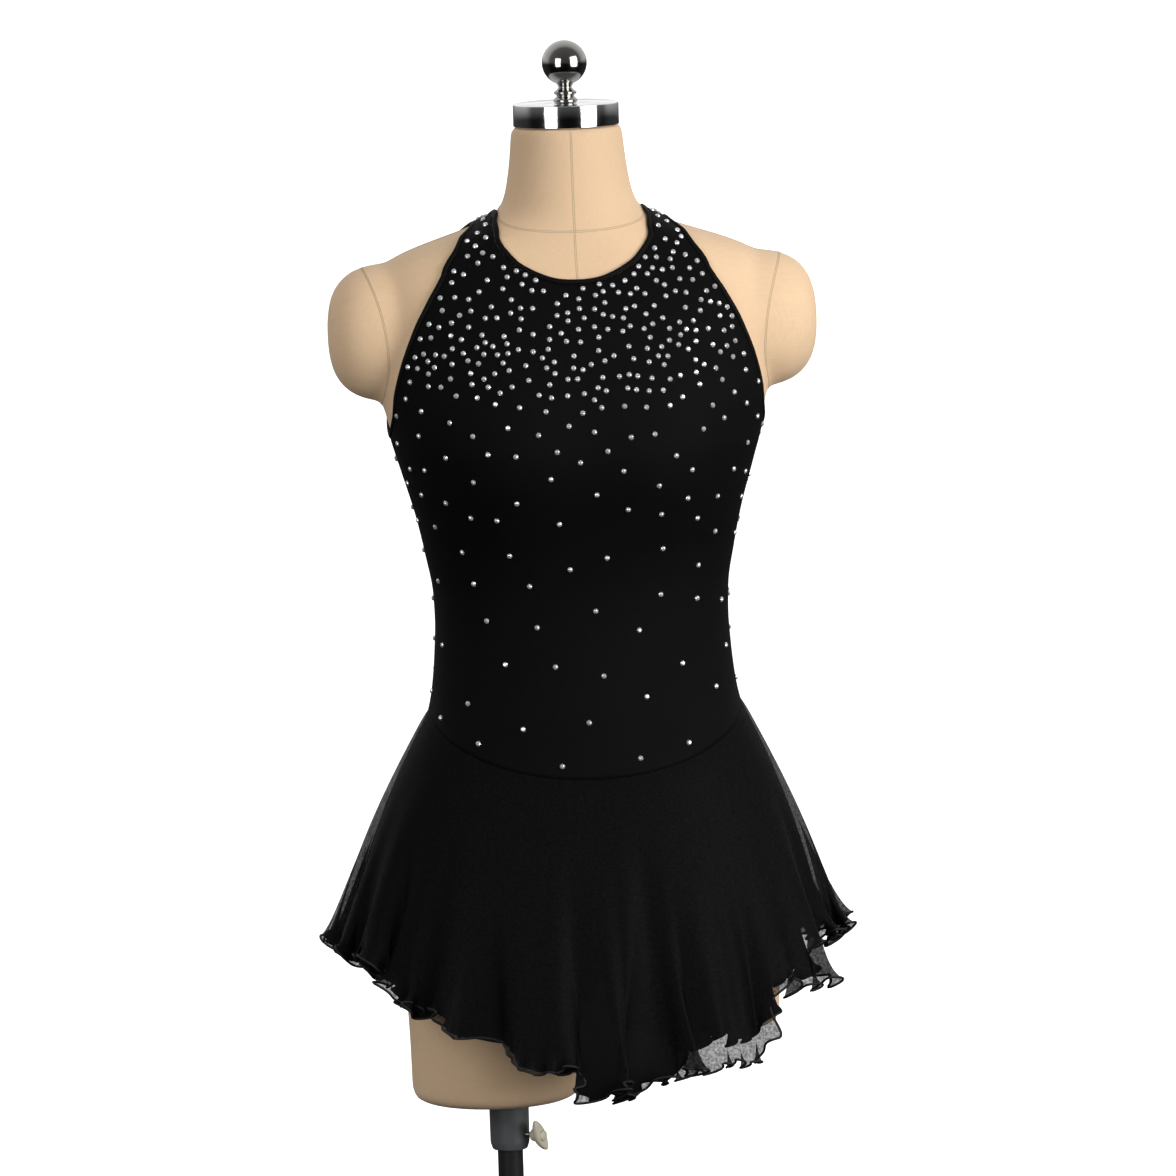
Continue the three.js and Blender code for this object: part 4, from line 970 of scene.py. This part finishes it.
def thread_surface(place, _):
    """Black thread, roughened by its twist."""
    return {
        "Roughness": noise(place, 3000.0) * 0.3 + 0.5,
        "Base Color": blend_colour(
            place, noise(place, 2500.0), (0.004, 0.004, 0.005), (0.012, 0.012, 0.013)),
    }


matt = {"Roughness": 0.65, "Specular IOR Level": 0.06}
CREPE = {
    "outer": finish("sheer black chiffon", matt, crepe(0.46, 0.68)),
    "inner": finish("close black chiffon", matt, crepe(0.993, 0.008)),
}
hem_thread = finish("rolled hem thread", {"Specular IOR Level": 0.3}, thread_surface)
SKIRT_COLUMNS, SKIRT_ROWS = 620, 54
HEM_RADIUS, HEM_SIDES = 1.1 * MM, 7
SKIRT_RADIUS, SKIRT_DROP = 0.2, 0.24  # middling ones, for the flat map


def cord(path, radius, sides):
    """A round cord carried along an open path, with both ends closed. Its frame
    is the path's direction and the form's outward direction."""
    along = unit(np.gradient(path, axis=0))
    aside = unit(np.cross(along, path * (1, 1, 0) - FORM_PLACE))
    across = np.cross(aside, along)
    turn = whole_turn(sides)[None, :, None]
    ring = np.cos(turn) * across[:, None] + np.sin(turn) * aside[:, None]
    return closed_rings(path[:, None] + radius * ring)


fall = (1 - np.linspace(1, 0, SKIRT_ROWS) ** 1.35)[::-1, None]  # rows from the hem up, closer near it
skirt_cells = grid_cells(SKIRT_ROWS, SKIRT_COLUMNS)
half = QUARTER - SIDE_SEAM_ANGLE / 2
for name, layer in LAYERS.items():
    for side, centre, area in (("front", 0.0, 0.15), ("back", np.pi, 0.17)):
        angle = np.linspace(centre - half, centre + half, SKIRT_COLUMNS)[None, :]
        points = skirt_point(angle, fall, *layer)
        flat_map = points_from(angle * SKIRT_RADIUS, -fall * SKIRT_DROP).reshape(-1, 2)
        sheet = piece(
            f"{name}_skirt_{side}", points.reshape(-1, 3), skirt_cells, CREPE[name], "chiffon", "form",
            flat_map=flat_map,
        )
        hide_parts(f"skirt_{name}_{side}")
        thread = cord(points[0], HEM_RADIUS, HEM_SIDES)
        hem = piece(f"{name}_hem_{side}", *thread, hem_thread, "chiffon", "form", weld=True)


# ---------------- the crystals
# Clear flat-back crystals 4.8 mm across, foiled behind and glued on one by one:
# close together from the neck down to the bust, then ever wider apart.
CRYSTAL_RADIUS, CRYSTAL_HEIGHT = 2.4 * MM, 1.8 * MM
SPACING = np.array([  # height, least distance between crystals, mm
    (750, 43), (800, 42), (860, 40), (930, 34), (990, 28), (1030, 22), (1053, 15), (1069, 9.4), (1110, 8.8),
    (1215, 8.8),
])
(spacing_at,) = table_curves(SPACING * MM)
SPACING_DROP, SPACING_DROP_X = 34 * MM, 150 * MM  # the close ones end higher at the sides
CRYSTAL_SIDES = 8
CRYSTAL_RINGS = [(1, 0, 0), (1, 0.22, 0), (0.74, 0.74, 0.5), (0.44, 1, 0)]  # radius, height, steps turned


def scattered(panel, seed, tries):
    """Places for crystals on a panel, drawn one at a time and kept only where
    none lies closer than the spacing at that height. Returns angles and heights."""
    draw = np.random.default_rng(seed)
    angle, z, cells = panel_nodes(**panel)
    points = off_form(angle, z, CLOTH_GAP + KNIT)
    corners = points[cells]
    area = np.linalg.norm(np.cross(corners[:, 1] - corners[:, 0], corners[:, 3] - corners[:, 0]), axis=1)
    chosen = draw.choice(len(cells), tries, p=area / area.sum())
    u, v = draw.uniform(0, 1, (2, tries))
    weights = np.stack([(1 - u) * (1 - v), u * (1 - v), u * v, (1 - u) * v], -1)
    at_angle = (angle[cells[chosen]] * weights).sum(-1)
    at_z = (z[cells[chosen]] * weights).sum(-1)
    places = off_form(at_angle, at_z, CLOTH_GAP + KNIT)
    edges = np.vstack([
        off_form(panel["centre"] + mirror * nodes[:, 0], nodes[:, 1], CLOTH_GAP + KNIT)
        for nodes in (panel["neck"], panel["arm"]) for mirror in (-1, 1)])
    loosened = draw.uniform(0.76, 1.25, tries)
    kept = []
    for i in range(tries):
        if np.min(np.linalg.norm(edges - places[i], axis=1)) < 1.15 * CRYSTAL_RADIUS:
            continue
        if at_z[i] < waist_height(at_angle[i]) + 9 * MM:
            continue
        drop = SPACING_DROP * ((places[i, 0] - FORM_X) / SPACING_DROP_X) ** 2
        gap = spacing_at(at_z[i] - drop) * loosened[i]
        if kept and np.min(np.linalg.norm(places[kept] - places[i], axis=1)) < gap:
            continue
        kept.append(i)
    return at_angle[kept], at_z[kept]


def crystals(angle, z, seed):
    """A cut crystal at each place, turned at random about the form's normal: a
    low girdle, two staggered rows of facets and a flat table."""
    draw = np.random.default_rng(seed)
    around, _, normal = form_tangents(angle, z)
    spin = draw.uniform(0, TAU, len(angle))[:, None]
    around = unit(around)
    aside = np.cross(normal, around)
    tilt = draw.normal(0, 0.06, (2, len(angle), 1))
    normal = unit(normal + around * tilt[0] + aside * tilt[1])
    centre = off_form(angle, z, CLOTH_GAP + KNIT)
    levels = []
    for radius, height, shift in CRYSTAL_RINGS:
        turn = (spin + (np.arange(CRYSTAL_SIDES) + shift) * TAU / CRYSTAL_SIDES)[..., None]
        flat = np.cos(turn) * around[:, None] + np.sin(turn) * aside[:, None]
        rise = CRYSTAL_HEIGHT * height * normal[:, None]
        levels.append(centre[:, None] + CRYSTAL_RADIUS * radius * flat + rise)
    foot, girdle, crown, table = np.arange(len(CRYSTAL_RINGS) * CRYSTAL_SIDES).reshape(-1, CRYSTAL_SIDES)
    next_foot, next_girdle, next_crown, next_table = (np.roll(r, -1) for r in (foot, girdle, crown, table))
    facets = [
        points_from(foot, next_foot, next_girdle, girdle),
        points_from(girdle, next_girdle, crown), points_from(next_girdle, next_crown, crown),
        points_from(crown, next_table, table), points_from(crown, next_crown, next_table),
        table[None], foot[None, ::-1],
    ]
    starts = (np.arange(len(angle)) * len(CRYSTAL_RINGS) * CRYSTAL_SIDES)[:, None, None]
    cells = [(facet[None] + starts).reshape(-1, facet.shape[1]) for facet in facets]
    return np.stack(levels, 1).reshape(-1, 3), cells


crystal = finish(
    "foiled crystal",
    {"Base Color": (0.76, 0.77, 0.79, 1), "Metallic": 0.6, "Coat Weight": 1.0, "Coat Roughness": 0.02},
    lambda place, _: {"Roughness": noise(place, 900.0, 1.0) * 0.1 + 0.04},
)
TRIES = 5200  # places drawn on a panel, most of which are too close to others
for side, seed in (("front", 11), ("back", 12)):
    places = scattered(PANELS[side], seed, TRIES)
    piece(f"crystals_{side}", *crystals(*places, seed), crystal, "chrome", "form", smooth=False)


# ---------------- floor, light and camera
# A white floor whose edge is out of sight, soft light from all round with a large
# lamp on the right and a weaker one on the left, and a long lens.
FLOOR_REACH, FLOOR_Z = 150.0, -0.1 * MM
floor_mesh = bpy.data.meshes.new("floor")
corners = [(x * FLOOR_REACH, y * FLOOR_REACH, FLOOR_Z) for x, y in ((-1, -1), (1, -1), (1, 1), (-1, 1))]
floor_mesh.from_pydata(corners, [], [(0, 1, 2, 3)])
white = {
    "Base Color": (0.8, 0.8, 0.8, 1), "Roughness": 0.9,
    "Emission Color": (1, 1, 1, 1), "Emission Strength": 1.0,
}
floor_mesh.materials.append(finish("white floor", white))
floor = placed("floor", floor_mesh)
floor.visible_diffuse = floor.visible_glossy = False

world = bpy.data.worlds.new("studio")
bpy.context.scene.world = world
world.use_nodes = True
sky = world.node_tree.nodes["Background"]
ways = world.node_tree.nodes.new("ShaderNodeTexCoord")
direction = Sock(world.node_tree, ways.outputs["Generated"])
_, behind, height = direction.split()
greys = [(place, (grey, grey, grey)) for place, grey in ((0.0, 0.08), (0.45, 0.16), (0.6, 0.6), (1.0, 1.0))]
glow = direction.add("ShaderNodeValToRGB", {"stops": greys}, {0: behind * 0.5 + 0.5})()
world.node_tree.links.new(glow.link, sky.inputs["Color"])
above = direction.math("MAXIMUM", direction.math("MINIMUM", height * 5.0 + 0.5, 1.0), 0.04)
world.node_tree.links.new((above * 1.05).link, sky.inputs["Strength"])


def facing(right, up, backward, place):
    """The matrix of a thing at a place whose three axes point these ways."""
    axes = np.stack([right, up, backward, np.asarray(place, float)], -1)
    return Matrix([*axes.tolist(), [0, 0, 0, 1]])


def lamp(name, place, target, size, power):
    """A soft box at a place, turned to its target."""
    light = bpy.data.lights.new(name, "AREA")
    light.shape = "RECTANGLE"
    light.size, light.size_y, light.energy = *size, power
    way = unit(np.subtract(place, target))
    side = unit(np.cross((0, 0, 1), way))
    placed(name, light).matrix_world = facing(side, np.cross(way, side), way, place)


lamp("key", (2.0, -1.8, 1.55), (0.08, 0, 0.95), (1.7, 2.2), 80)
lamp("fill", (-1.55, -2.15, 1.45), (0.08, 0, 0.95), (1.3, 2.0), 30)

CAMERA_DISTANCE, CAMERA_TILT, CAMERA_TURN, CAMERA_ROLL = 8.0, 7.3 * DEGREE, 4.3 * DEGREE, 1.8 * DEGREE
AIM_Z, AIM_ASIDE, FRAME_WIDTH = 0.89, 6.2 * MM, 1011.36 * MM  # the frame's width is at the form's middle
right = np.array([np.cos(CAMERA_TURN), -np.sin(CAMERA_TURN), 0])
target = FORM_PLACE + AIM_ASIDE * right + (0, 0, AIM_Z)
level_back = np.array([-np.sin(CAMERA_TURN), -np.cos(CAMERA_TURN), 0])
backward = level_back * np.cos(CAMERA_TILT) + (0, 0, np.sin(CAMERA_TILT))
upward = np.cross(backward, right)
rolled_right = right * np.cos(CAMERA_ROLL) - upward * np.sin(CAMERA_ROLL)
rolled_up = right * np.sin(CAMERA_ROLL) + upward * np.cos(CAMERA_ROLL)
camera_data = bpy.data.cameras.new("camera")
camera_data.sensor_width = 36
camera_data.lens = camera_data.sensor_width * CAMERA_DISTANCE / FRAME_WIDTH
camera_data.clip_end = 200
camera = placed("camera", camera_data)
camera.matrix_world = facing(rolled_right, rolled_up, backward, target + CAMERA_DISTANCE * backward)
bpy.context.scene.camera = camera
bpy.context.scene.view_settings.view_transform = "Standard"
